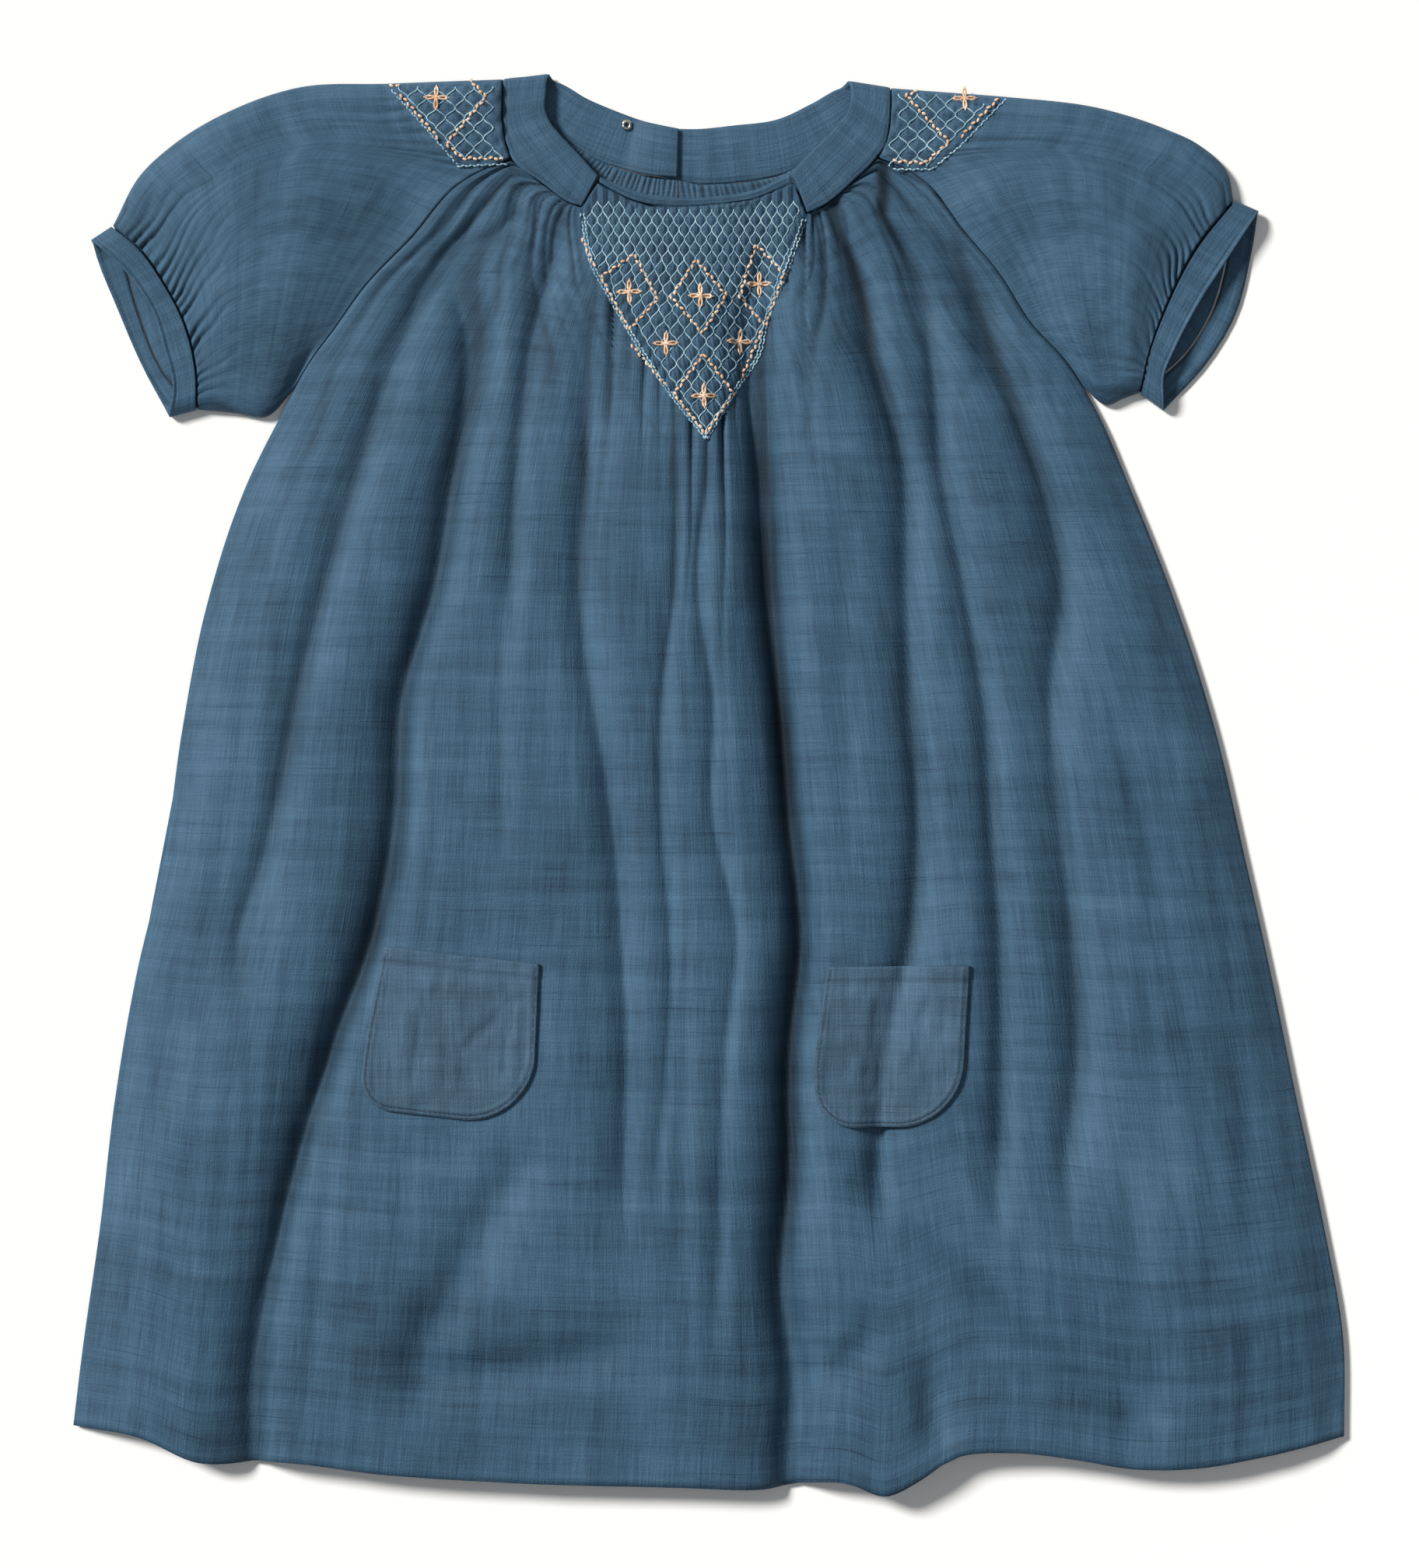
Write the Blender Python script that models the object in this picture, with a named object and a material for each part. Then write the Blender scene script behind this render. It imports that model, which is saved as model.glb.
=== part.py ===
# A child's smocked dress laid flat, face up, in tussah-like silk.
# Tables and sizes are in millimetres: +X to the right, +Y towards the neck, +Z up from the surface.
# Left and right are as seen from above.
import math

import bmesh
import bpy
import numpy as np
from mathutils import Vector
from mathutils.bvhtree import BVHTree

MM = 0.001
WELD = 1e-6

# Thicknesses and clearances
CLOTH = 1.2
DOUBLE_CLOTH = 1.5
SEAM_GAP = 0.4
LAYER_GAP = 0.3
FRONT_LOW = 2 * CLOTH + LAYER_GAP
FOLD_EDGE = 2.2
SHOULDER_FOLD = 3.4

# Driving lines of the front, each point as (x, y)
NECK_TOP = 281.0
HEM_LEVEL = -306.0
NECK_EDGE = (
    (-89.0, 280.0), (-74.5, 269.0), (-63.5, 261.0), (-57.5, 259.0), (-50.0, 270.0), (-42.5, 266.0),
    (-35.5, 262.5), (-26.5, 259.5), (-13.5, 259.5), (3.0, 260.5), (20.5, 263.0), (38.0, 270.5),
    (44.0, 256.0), (52.0, 259.5), (66.0, 271.0), (76.0, 281.0),
)
HEM_EDGE = (
    (-286.5, -289.5), (-256.0, -294.0), (-228.0, -305.5), (-214.0, -306.0), (-200.0, -305.0),
    (-144.0, -310.5), (-88.0, -314.0), (-4.0, -316.5), (24.0, -317.5), (62.5, -314.5), (80.0, -320.0),
    (94.0, -313.5), (108.0, -304.0), (136.0, -300.5), (164.0, -303.5), (192.0, -308.0),
    (220.0, -307.5), (248.0, -303.0), (286.5, -294.5),
)
SIDE_LEFT = (
    (-89.0, 280.0), (-100.0, 276.5), (-111.0, 270.5), (-133.5, 245.5), (-155.0, 223.0), (-168.5, 204.5),
    (-180.5, 188.5), (-192.0, 167.5), (-208.0, 135.5), (-226.5, 79.5), (-237.5, 23.5), (-245.5, -32.5),
    (-258.5, -88.5), (-268.0, -144.5), (-274.5, -200.5), (-282.5, -256.5), (-286.5, -289.5),
)
SIDE_RIGHT = (
    (76.0, 281.0), (87.0, 277.0), (98.5, 269.5), (112.5, 251.0), (131.5, 228.0), (145.0, 207.0),
    (161.0, 190.0), (174.5, 168.5), (189.0, 135.5), (211.0, 79.5), (228.5, 23.5), (241.5, -32.5),
    (254.0, -88.5), (265.5, -144.5), (277.5, -200.5), (286.0, -250.0), (286.5, -294.5),
)

# The smocked V, a lattice of stitched diamonds
DIAMOND_WIDE = 4.9
DIAMOND_TALL = 8.75
DIAMOND_PUFF = 1.1
LATTICE_ROWS = 24
V_TIP_X = -1.0
V_TOP_Y = 260.2
V_LEFT = ((-57.5, 259.0), (-52.0, 232.0), (-45.0, 219.5), (-36.0, 203.5), (-19.5, 178.0), (-1.0, 154.7))
V_RIGHT = ((44.0, 256.0), (34.5, 229.0), (26.0, 208.0), (23.0, 194.0), (12.5, 177.5), (-1.0, 154.7))

# Rows and columns of the front
FAN_COLUMNS = 24
FAN_LATTICE_ROWS = (0, 1, 2, 4, 8, 12, 16, 21, 24)
UNDERARM_ROW = 7
FAN_SPREAD = 0.68
FAN_EVEN_ROW = 0.19
LOWER_ROWS = 17
GATHER_PUFF = 0.8
GATHER_FADE = 0.04

# Height of the front above its lowest lie, as (y, rise)
FRONT_RISE = (
    (-320.0, 12.0), (-240.0, 15.0), (-173.0, 16.5), (-68.0, 17.0), (37.0, 16.5), (90.0, 15.5),
    (142.0, 13.5), (195.0, 10.0), (240.0, 6.5), (281.0, 5.0),
)
EDGE_SLOPE = 24.0

# Folds of the front: x at each station, and how deep, with the reach of the shallow left flank
# and of the steep right flank. None stands where a fold has not begun or has died away.
STATIONS = (256, 237, 195, 142, 90, 37, -15, -68, -120, -173, -225, -271, -295)
FOLDS = (
    # depth, left reach, right reach, x at the stations
    (6.5, 15.0, 9.0, (-104, -118, -139, -157, -172, -185, -195, -211, None, None, None, None, None)),
    (12.0, 20.0, 10.0, (-88, -104, -103, -114, -123, -138, -141, -151, -170, -186, -198, -205, -200)),
    (5.5, 12.0, 8.0, (-66, -70, -80, -86, -88, None, None, None, None, None, None, None, None)),
    (6.5, 16.0, 9.0, (None, None, -55, -55, -58, -52, -43, -39, -36, -37, None, None, None)),
    (2.6, 6.0, 5.0, (None, None, None, -15, -15, -21, -21, -17, -18, -23, None, None, None)),
    (3.0, 8.0, 5.0, (None, None, None, 0, -5, 2, 2, 13, 8, 6, 5, None, None)),
    (16.5, 19.0, 10.0, (None, 24, 22, 24, 26, 30, 35, 41, 36, 38, 33, 39, 36)),
    (9.0, 17.0, 10.0, (56, 64, 73, 90, 89, 91, 94, 91, 77, 74, None, None, None)),
    (7.5, 14.0, 9.0, (78, 90, 100, 105, 110, 124, 127, 131, 132, 131, None, None, None)),
    (8.0, 19.0, 10.0, (None, 113, 127, 148, 159, 154, 158, 163, 166, 161, None, None, None)),
)
# Slanting folds at the hem: depth, reach, and the line from the upper to the lower end
HEM_FOLDS = (
    # depth, reach, x0, y0, x1, y1
    (7.0, 13.0, 74.0, -172.0, 203.0, -288.0),
    (5.0, 12.0, -81.0, -165.0, -138.0, -270.0),
    (5.0, 10.0, -137.0, -271.0, -39.0, -255.0),
    (6.0, 8.0, 60.0, -262.0, 73.0, -248.0),
    (6.0, 9.0, 100.0, -262.0, 104.0, -300.0),
)

# Back: its top edge under the neckband, and its raglan
BACK_TOP_LEVEL = 302.0
BACK_NECK = (
    (-78.0, 301.4), (-65.0, 290.4), (-45.5, 278.9), (-30.0, 274.4), (-14.0, 272.4), (-4.5, 270.0),
    (14.5, 270.9), (31.5, 273.9), (57.0, 286.3), (68.0, 295.8),
)
BACK_SIDE_INSET = 0.8
BACK_HEM_INSET = 2.0
BACK_HEM_PEEP = ((200.0, 0.0), (215.0, 3.6), (245.0, 3.6), (262.0, 0.0))
SLIT_X = -13.8
SLIT_END_Y = 190.0
SLIT_HALF = 0.4
BACK_ROWS = (0.0, 0.012, 0.026, 0.045, 0.1, 0.18, 0.26, 0.36, 0.48, 0.6, 0.72, 0.84, 0.94, 1.0)
BACK_GATHER_ROWS = 4
BACK_GATHER_COLUMNS = 24
BACK_COLUMNS = 8
BACK_GATHER_PUFF = 0.7

# Sleeves, one column for each side: lines as (x, y) from the neck, or from the top fold, down
SLEEVES = {
    "left": {
        "top": ((-93.2, 317.4), (-144.0, 315.5), (-186.0, 313.5), (-214.0, 304.0), (-242.0, 287.5),
                (-256.0, 274.5), (-268.5, 251.5)),
        "under": ((-200.0, 165.2), (-214.0, 167.0), (-230.0, 168.5)),
        "cuff": ((-268.5, 251.5), (-255.0, 240.0), (-245.0, 225.5), (-235.0, 206.0), (-230.0, 182.5),
                 (-230.0, 168.5)),
        "cuff_back": ((-268.5, 251.5), (-264.0, 238.0), (-257.0, 213.0), (-245.5, 185.0), (-230.0, 168.5)),
        "mouth": ((-278.5, 245.0), (-263.5, 231.5), (-250.5, 213.0), (-245.0, 195.5), (-241.0, 177.0),
                  (-243.0, 165.0)),
        "mouth_back": ((-278.5, 245.0), (-275.0, 234.0), (-268.0, 217.0), (-255.0, 187.0), (-243.0, 165.0)),
        "band": ((-93.2, 309.0), (-93.3, 298.0), (-91.9, 288.5), (-89.6, 281.6)),
        "back": ((-92.2, 315.2), (-86.6, 309.2), (-78.7, 302.0), (-135.0, 235.0)),
        "smocking": ((-146.0, 320.0), (-144.0, 313.5), (-122.0, 285.5), (-112.0, 277.0), (-88.0, 277.0),
                     (-88.0, 320.0)),
    },
    "right": {
        "top": ((82.4, 313.4), (108.0, 311.5), (134.0, 309.5), (178.0, 304.0), (206.0, 295.0),
                (220.0, 288.5), (234.0, 275.0), (236.5, 263.0)),
        "under": ((180.0, 170.5), (187.0, 173.5), (194.0, 176.0)),
        "cuff": ((236.5, 263.0), (218.5, 240.5), (205.0, 213.5), (197.0, 191.0), (194.0, 176.0)),
        "cuff_back": ((236.5, 263.0), (234.0, 241.0), (227.0, 214.0), (216.5, 196.0), (194.0, 176.0)),
        "mouth": ((248.0, 258.0), (234.5, 237.5), (220.0, 215.0), (209.5, 195.0), (205.0, 184.0),
                  (205.0, 168.0)),
        "mouth_back": ((248.0, 258.0), (244.5, 237.5), (237.5, 211.0), (226.5, 192.0), (205.0, 168.0)),
        "band": ((82.4, 306.0), (81.8, 296.0), (80.0, 287.5), (76.5, 281.6)),
        "back": ((81.2, 311.0), (76.6, 303.2), (68.7, 296.6), (122.0, 235.0)),
        "smocking": ((136.0, 316.0), (134.0, 309.0), (113.5, 286.5), (100.5, 275.0), (74.0, 275.0),
                     (74.0, 316.0)),
    },
}
SLEEVE_STEPS = (0.0, 0.025, 0.05, 0.075, 0.1, 0.125, 0.15, 0.175, 0.2, 0.225, 0.25, 0.33, 0.45, 0.6,
                0.75, 0.87, 0.95, 1.0)
SLEEVE_BOW = 20.0
SLEEVE_RISE = 15.0
CUFF_RISE = 8.6
SLEEVE_ROUND = 9.0
CUFF_GATHER = 1.0
CUFF_STEPS = (0.08, 0.5, 1.0)
SHOULDER_PUFF = 0.9

# Neckbands: each row has the inner edge, the outer edge and the height of the ribbon's middle
NECKBANDS = {
    "left": (
        # inner x, inner y, outer x, outer y, z
        (-49.8, 273.4, -57.2, 259.7, 8.4),
        (-54.0, 278.0, -63.3, 261.7, 8.3),
        (-58.5, 283.0, -74.2, 269.6, 8.2),
        (-67.0, 292.0, -88.4, 280.8, 7.8),
        (-71.0, 297.0, -91.3, 288.5, 7.3),
        (-73.5, 303.0, -92.7, 298.0, 6.8),
        (-73.2, 312.0, -92.7, 309.0, 6.3),
        (-72.8, 317.0, -92.6, 315.2, 5.6),
        (-72.0, 319.2, -92.4, 317.0, 3.6),
        (-70.4, 317.4, -91.4, 315.0, 1.5),
        (-66.0, 315.5, -86.0, 309.5, 0.75),
        (-54.0, 308.5, -65.0, 291.0, 0.75),
        (-37.0, 301.5, -45.5, 279.5, 0.75),
        (-32.0, 299.7, -37.0, 277.0, 0.78),
        (-27.0, 298.0, -30.0, 275.0, 2.9),
        (-13.7, 295.2, -14.2, 273.4, 2.9),
    ),
    "right": (
        (37.4, 275.0, 44.3, 256.8, 8.4),
        (41.0, 279.0, 51.8, 260.2, 8.3),
        (47.0, 285.0, 65.6, 271.6, 8.2),
        (58.0, 296.0, 75.4, 281.6, 7.8),
        (62.5, 302.0, 79.4, 287.5, 7.3),
        (64.0, 308.0, 81.2, 296.0, 6.8),
        (64.0, 312.0, 81.8, 306.0, 6.3),
        (63.6, 314.4, 81.8, 311.0, 5.6),
        (62.8, 316.0, 81.6, 313.0, 3.6),
        (61.0, 314.6, 80.6, 311.0, 1.5),
        (56.5, 312.5, 76.0, 303.5, 0.75),
        (46.0, 306.5, 57.0, 286.9, 0.75),
        (28.5, 299.0, 31.5, 274.5, 0.75),
        (12.0, 297.0, 14.5, 271.5, 0.75),
        (-5.5, 295.3, -4.5, 270.6, 0.75),
        (-24.0, 296.0, -24.4, 274.6, 0.75),
    ),
}
BINDING = (
    # upper x, upper y, lower x, lower y, z
    (-48.9, 272.6, -49.2, 270.4, 8.6),
    (-42.5, 270.0, -42.5, 266.5, 8.6),
    (-30.0, 265.5, -31.5, 261.8, 8.6),
    (-16.5, 263.5, -17.0, 260.0, 8.6),
    (3.0, 263.8, 3.0, 260.9, 8.6),
    (20.5, 266.9, 20.5, 263.4, 8.6),
    (36.6, 274.6, 37.0, 270.6, 8.6),
)
BINDING_THICK = 1.8

# Patch pockets: middle of the top edge, tilt, half widths and depth, with the lower corners' radii
POCKETS = {
    # x, y, tilt in degrees, half top, left low, right low, depth, left round, right round
    "left": (-110.5, -77.0, -6.5, 35.0, 38.5, 38.0, 73.0, 15.0, 30.0),
    "right": (85.0, -82.0, 0.5, 32.0, 38.0, 29.0, 72.0, 18.0, 30.0),
}
POCKET_COLUMNS = 8
POCKET_DEPTHS = (0.0, 0.08, 0.24, 0.42, 0.6, 0.74, 0.85, 0.93, 0.98, 1.0)
POCKET_REACH = 5.0
POCKET_LIFTS = 4
POCKET_HEM = 0.3

# Press stud on the inside of the back neckband
STUD_X = -37.0
STUD_Y = 297.0
STUD_RADIUS = 2.5
STUD_HOLE = 0.9
STUD_HIGH = 1.1
STUD_SIDES = 20

# Colours as linear RGB
CLOTH_COLOUR = (0.05, 0.12, 0.19, 1.0)
POCKET_COLOUR = (0.06, 0.12, 0.17, 1.0)
STUD_COLOUR = (0.6, 0.6, 0.58, 1.0)


def clear_scene():
    for thing in list(bpy.data.objects):
        bpy.data.objects.remove(thing, do_unlink=True)


def material(name, colour, rough, metal):
    shade = bpy.data.materials.new(name)
    shade.use_nodes = True
    surface = shade.node_tree.nodes["Principled BSDF"]
    surface.inputs["Base Color"].default_value = colour
    surface.inputs["Roughness"].default_value = rough
    surface.inputs["Metallic"].default_value = metal
    return shade


# Smooth curve through a table: a cubic between neighbours with the slopes of their differences
def curve(xs, ys, x):
    xs = np.asarray(xs, float)
    ys = np.asarray(ys, float)
    x = np.clip(x, xs[0], xs[-1])
    slope = np.gradient(ys, xs)
    k = np.clip(np.searchsorted(xs, x, side="right") - 1, 0, len(xs) - 2)
    wide = xs[k + 1] - xs[k]
    t = (x - xs[k]) / wide
    near = (1 + 2 * t) * (1 - t) ** 2 * ys[k] + t * (1 - t) ** 2 * wide * slope[k]
    far = t * t * (3 - 2 * t) * ys[k + 1] - t * t * (1 - t) * wide * slope[k + 1]
    return near + far


# Points along a smooth path through a table of (x, y), at fractions of its chord length
def along(table, fractions):
    table = np.asarray(table, float)
    length = np.concatenate(([0.0], np.cumsum(np.linalg.norm(np.diff(table, axis=0), axis=1))))
    reach = np.asarray(fractions, float) * length[-1]
    return np.stack((curve(length, table[:, 0], reach), curve(length, table[:, 1], reach)), axis=-1)


# The same along straight chords
def along_chords(table, fractions):
    table = np.asarray(table, float)
    length = np.concatenate(([0.0], np.cumsum(np.linalg.norm(np.diff(table, axis=0), axis=1))))
    reach = np.asarray(fractions, float) * length[-1]
    return np.stack((np.interp(reach, length, table[:, 0]), np.interp(reach, length, table[:, 1])), axis=-1)


# Fractions of the chord length at a line's own points
def shares(line):
    length = np.concatenate(([0.0], np.cumsum(np.linalg.norm(np.diff(line, axis=0), axis=1))))
    return length / length[-1]


def smoothstep(x):
    x = np.clip(x, 0.0, 1.0)
    return x * x * (3 - 2 * x)


def columns(table):
    return tuple(np.array(column, float) for column in zip(*table))


def inside(outline, x, y):
    hit = False
    for (ax, ay), (bx, by) in zip(outline, outline[1:] + outline[:1]):
        if (ay > y) != (by > y) and x < ax + (y - ay) * (bx - ax) / (by - ay):
            hit = not hit
    return hit


# Points and faces of one piece while it is put together
class Shell:
    def __init__(self):
        self.points = []
        self.faces = []

    def add(self, points):
        points = np.asarray(points, float)
        start = len(self.points)
        self.points.extend(points.reshape(-1, 3))
        return np.arange(start, len(self.points)).reshape(points.shape[:-1])

    def grid(self, index):
        for low, high in zip(index[:-1], index[1:]):
            for a, b, c, d in zip(low[:-1], low[1:], high[1:], high[:-1]):
                self.faces.append((a, b, c, d))

    # Triangles between two rows of unlike counts, matched by their keys. Where the keys agree,
    # the diagonal joins the two lower points, so that stitched lines stay low.
    def zip_rows(self, a, b, keys_a, keys_b):
        i = j = 0
        while i < len(a) - 1 or j < len(b) - 1:
            if j == len(b) - 1:
                step_a = True
            elif i == len(a) - 1:
                step_a = False
            elif abs(keys_a[i + 1] - keys_b[j + 1]) < 1e-6:
                height = [self.points[k][2] for k in (a[i + 1], b[j], a[i], b[j + 1])]
                step_a = height[0] + height[1] <= height[2] + height[3]
            else:
                step_a = keys_a[i + 1] < keys_b[j + 1]
            if step_a:
                self.faces.append((a[i], b[j], a[i + 1]))
                i += 1
            else:
                self.faces.append((a[i], b[j], b[j + 1]))
                j += 1


# Closed wall from an outer skin and the inner point under each of its points
def wall(shell, inner):
    outer = np.array(shell.points)
    inner = np.asarray(inner, float)
    _, first, same = np.unique(np.round(outer, 4), axis=0, return_index=True, return_inverse=True)
    same = same.reshape(-1)
    outer = outer[first]
    inner = inner[first]
    faces = []
    for face in shell.faces:
        corners = []
        for k in face:
            if same[k] not in corners:
                corners.append(int(same[k]))
        if len(corners) > 2:
            faces.append(tuple(corners))
    count = len(outer)
    sides = {}
    for face in faces:
        for a, b in zip(face, face[1:] + face[:1]):
            edge = (min(a, b), max(a, b))
            sides[edge] = sides.get(edge, 0) + 1
    rim = [(a, b, b + count, a + count) for (a, b), uses in sides.items() if uses == 1]
    under = [tuple(k + count for k in reversed(face)) for face in faces]
    return np.vstack((outer, inner)), faces + under + rim


def piece(name, points, faces, shade):
    mesh = bpy.data.meshes.new(name)
    mesh.from_pydata([Vector(point) * MM for point in points], [], faces)
    build = bmesh.new()
    build.from_mesh(mesh)
    bmesh.ops.remove_doubles(build, verts=build.verts, dist=WELD)
    bmesh.ops.triangulate(build, faces=[face for face in build.faces if len(face.verts) > 3])
    bmesh.ops.recalc_face_normals(build, faces=build.faces)
    build.to_mesh(mesh)
    build.free()
    mesh.materials.append(shade)
    mesh.shade_smooth()
    thing = bpy.data.objects.new(name, mesh)
    bpy.context.scene.collection.objects.link(thing)
    return thing


# A row of the front is level between the neck's line, which fades over the first quarter,
# and the hem's line, which grows towards the hem
def front_y(x, t):
    neck_x, neck_y = columns(NECK_EDGE)
    hem_x, hem_y = columns(HEM_EDGE)
    level = NECK_TOP + (HEM_LEVEL - NECK_TOP) * t
    neck = (np.interp(x, neck_x, neck_y) - NECK_TOP) * np.clip(1 - 4 * t, 0, 1) ** 2
    hem = (curve(hem_x, hem_y, x) - HEM_LEVEL) * t ** 3
    return level + neck + hem


def row_of(level_y, x, y):
    low = np.zeros_like(x)
    high = np.ones_like(x)
    for _ in range(40):
        middle = (low + high) / 2
        above = level_y(x, middle) > y
        low = np.where(above, middle, low)
        high = np.where(above, high, middle)
    return (low + high) / 2


# x where each row meets a line of the plan
class Edge:
    def __init__(self, table, level_y, samples=240):
        path = along(table, np.linspace(0, 1, samples))
        self.rows = row_of(level_y, path[:, 0], path[:, 1])
        self.x = path[:, 0]

    def at(self, t):
        return np.interp(t, self.rows, self.x)


# Depth profile of a fold: a soft point at its bottom, falling off over the reach on each side
def trough(offset, left, right):
    q = np.where(offset < 0, -offset / left, offset / right)
    return np.exp(-1.3 * (np.sqrt(q * q + 0.04) - 0.2))


def fold_track(places):
    known = [(y, x) for y, x in zip(STATIONS, places) if x is not None]
    known.sort()
    ys, xs = columns(known)
    return ys, xs


def front_height(x, y):
    x, y = np.broadcast_arrays(np.asarray(x, float), np.asarray(y, float))
    rise_y, rise = columns(FRONT_RISE)
    left_x, left_y = columns(SIDE_LEFT[::-1])
    right_x, right_y = columns(SIDE_RIGHT[::-1])
    off_left = x - np.interp(y, left_y, left_x)
    off_right = np.interp(y, right_y, right_x) - x
    edge = 1 - np.exp(-np.clip(np.minimum(off_left, off_right), 0, None) / EDGE_SLOPE)
    lift = smoothstep((y - 165.0) / 90.0)
    high = curve(rise_y, rise, y) * (edge + (1 - edge) * lift)
    for depth, left, right, places in FOLDS:
        ys, xs = fold_track(places)
        track = curve(ys, xs, y)
        strength = smoothstep((y - ys[0] + 45) / 60) * smoothstep((ys[-1] + 20 - y) / 60)
        strength = np.where(ys[0] <= STATIONS[-1], smoothstep((ys[-1] + 20 - y) / 60), strength)
        high = high - depth * strength * trough(x - track, left, right)
    for depth, reach, x0, y0, x1, y1 in HEM_FOLDS:
        run = math.hypot(x1 - x0, y1 - y0)
        part = ((x - x0) * (x1 - x0) + (y - y0) * (y1 - y0)) / run
        across = ((x - x0) * (y1 - y0) - (y - y0) * (x1 - x0)) / run
        ends = smoothstep((part + 10) / 25) * smoothstep((run + 10 - part) / 25)
        high = high - depth * ends * np.exp(-(across / reach) ** 2)
    return FRONT_LOW + 0.5 * (high + np.sqrt(high * high + 1.0)) - 0.1


def front_normal(x, y):
    step = 0.5
    slope_x = (front_height(x + step, y) - front_height(x - step, y)) / (2 * step)
    slope_y = (front_height(x, y + step) - front_height(x, y - step)) / (2 * step)
    normal = np.stack((-slope_x, -slope_y, np.ones_like(slope_x)), axis=-1)
    return normal / np.linalg.norm(normal, axis=-1, keepdims=True)


def lattice_rows():
    levels = V_TOP_Y - np.arange(LATTICE_ROWS + 1) * DIAMOND_TALL / 2
    rows = row_of(front_y, np.full(levels.shape, V_TIP_X), levels)
    rows[0] = 0.0
    return rows


def fan_rows():
    lattice = lattice_rows()
    lower = np.linspace(lattice[-1], 1.0, LOWER_ROWS + 1)[1:]
    return np.concatenate((lattice[list(FAN_LATTICE_ROWS)], lower))


# The front's plan points on its fan rows at the left or right edge, down to the underarm
def raglan_points(side):
    rows = fan_rows()[:UNDERARM_ROW + 1]
    edge = Edge(SIDE_LEFT if side == "left" else SIDE_RIGHT, front_y)
    x = edge.at(rows)
    return np.stack((x, front_y(x, rows)), axis=-1)


# Fans of columns on both sides of the V, zipped to its lattice, all on the height of the front.
# reliefs holds each point's puff, which the outer skin alone takes.
def make_front(shade):
    shell = Shell()
    reliefs = []
    rows = fan_rows()
    lattice = lattice_rows()
    seam_rows = np.concatenate((lattice, rows[len(FAN_LATTICE_ROWS):]))
    v_edges = {"left": Edge(V_LEFT, front_y), "right": Edge(V_RIGHT, front_y)}
    sides = {"left": Edge(SIDE_LEFT, front_y), "right": Edge(SIDE_RIGHT, front_y)}

    def place(x, t, relief):
        y = front_y(x, t)
        reliefs.extend(np.ravel(relief))
        return shell.add(np.stack((x, y, front_height(x, y) + relief), axis=-1))

    for side in ("left", "right"):
        share = np.linspace(0, 1, FAN_COLUMNS + 1)[:-1]
        outer_x = sides[side].at(rows)[:, None]
        inner_x = v_edges[side].at(rows)[:, None]
        spread = np.where(rows > 0, FAN_SPREAD + (1 - FAN_SPREAD) * np.clip(rows / FAN_EVEN_ROW, 0, 1), 1)
        x = outer_x + (inner_x - outer_x) * share ** spread[:, None]
        t = np.broadcast_to(rows[:, None], x.shape)
        puff = GATHER_PUFF * np.exp(-t / GATHER_FADE) * (np.arange(FAN_COLUMNS) % 2)
        fan = place(x, t, puff)
        shell.grid(fan)
        seam_x = v_edges[side].at(seam_rows)
        seam = place(seam_x, seam_rows, np.zeros_like(seam_x))
        shell.zip_rows(fan[:, -1], seam, rows, seam_rows)

    pitch = DIAMOND_WIDE / 2
    last = None
    for k, t in enumerate(lattice):
        left = v_edges["left"].at(t)
        right = v_edges["right"].at(t)
        first = math.ceil((left + 1.2 - V_TIP_X) / pitch)
        final = math.floor((right - 1.2 - V_TIP_X) / pitch)
        steps = np.arange(first, final + 1)
        x = np.concatenate(([left], V_TIP_X + steps * pitch, [right]))
        puff = np.concatenate(([0.0], DIAMOND_PUFF * ((steps + k) % 2 == 0), [0.0]))
        row = place(x, np.full(x.shape, t), puff)
        if last is not None:
            shell.zip_rows(last[0], row, last[1], x)
        last = (row, x)

    outer = np.array(shell.points)
    plain = outer.copy()
    plain[:, 2] -= np.array(reliefs)
    t = row_of(front_y, plain[:, 0], plain[:, 1])
    rim = (t < 1e-4) | (t > 1 - 1e-4)
    rim |= plain[:, 0] < sides["left"].at(t) + 0.05
    rim |= plain[:, 0] > sides["right"].at(t) - 0.05
    down = np.where(rim[:, None], np.array((0.0, 0.0, 1.0)), front_normal(plain[:, 0], plain[:, 1]))
    skin = BVHTree.FromPolygons([tuple(point) for point in outer], shell.faces)
    points, faces = wall(shell, plain - CLOTH * down)
    piece("front", points, faces, shade)
    return skin, outer


def back_y(x, t):
    neck_x, neck_y = columns(BACK_NECK)
    hem_x, hem_y = columns(HEM_EDGE)
    peep_x, peep = columns(BACK_HEM_PEEP)
    level = BACK_TOP_LEVEL + (HEM_LEVEL - BACK_TOP_LEVEL) * t
    neck = (np.interp(x, neck_x, neck_y) - BACK_TOP_LEVEL) * np.clip(1 - 3 * t, 0, 1) ** 2
    hem_line = curve(hem_x, hem_y, x) + BACK_HEM_INSET - np.interp(x, peep_x, peep)
    return level + neck + (hem_line - HEM_LEVEL) * t ** 3


def back_side(side):
    table = SIDE_LEFT if side == "left" else SIDE_RIGHT
    inward = 1 if side == "left" else -1
    top = BACK_NECK[0] if side == "left" else BACK_NECK[-1]
    raglan = raglan_points(side)[-1]
    underarm = (raglan[0] + inward * 0.2, raglan[1])
    below = [(x + inward * BACK_SIDE_INSET, y) for x, y in table if y < underarm[1] - 5]
    corner = SLEEVES[side]["back"][-1]
    turn = (corner[0] + inward * SEAM_GAP, corner[1] - SEAM_GAP)
    return [top, turn, underarm] + below


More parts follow.
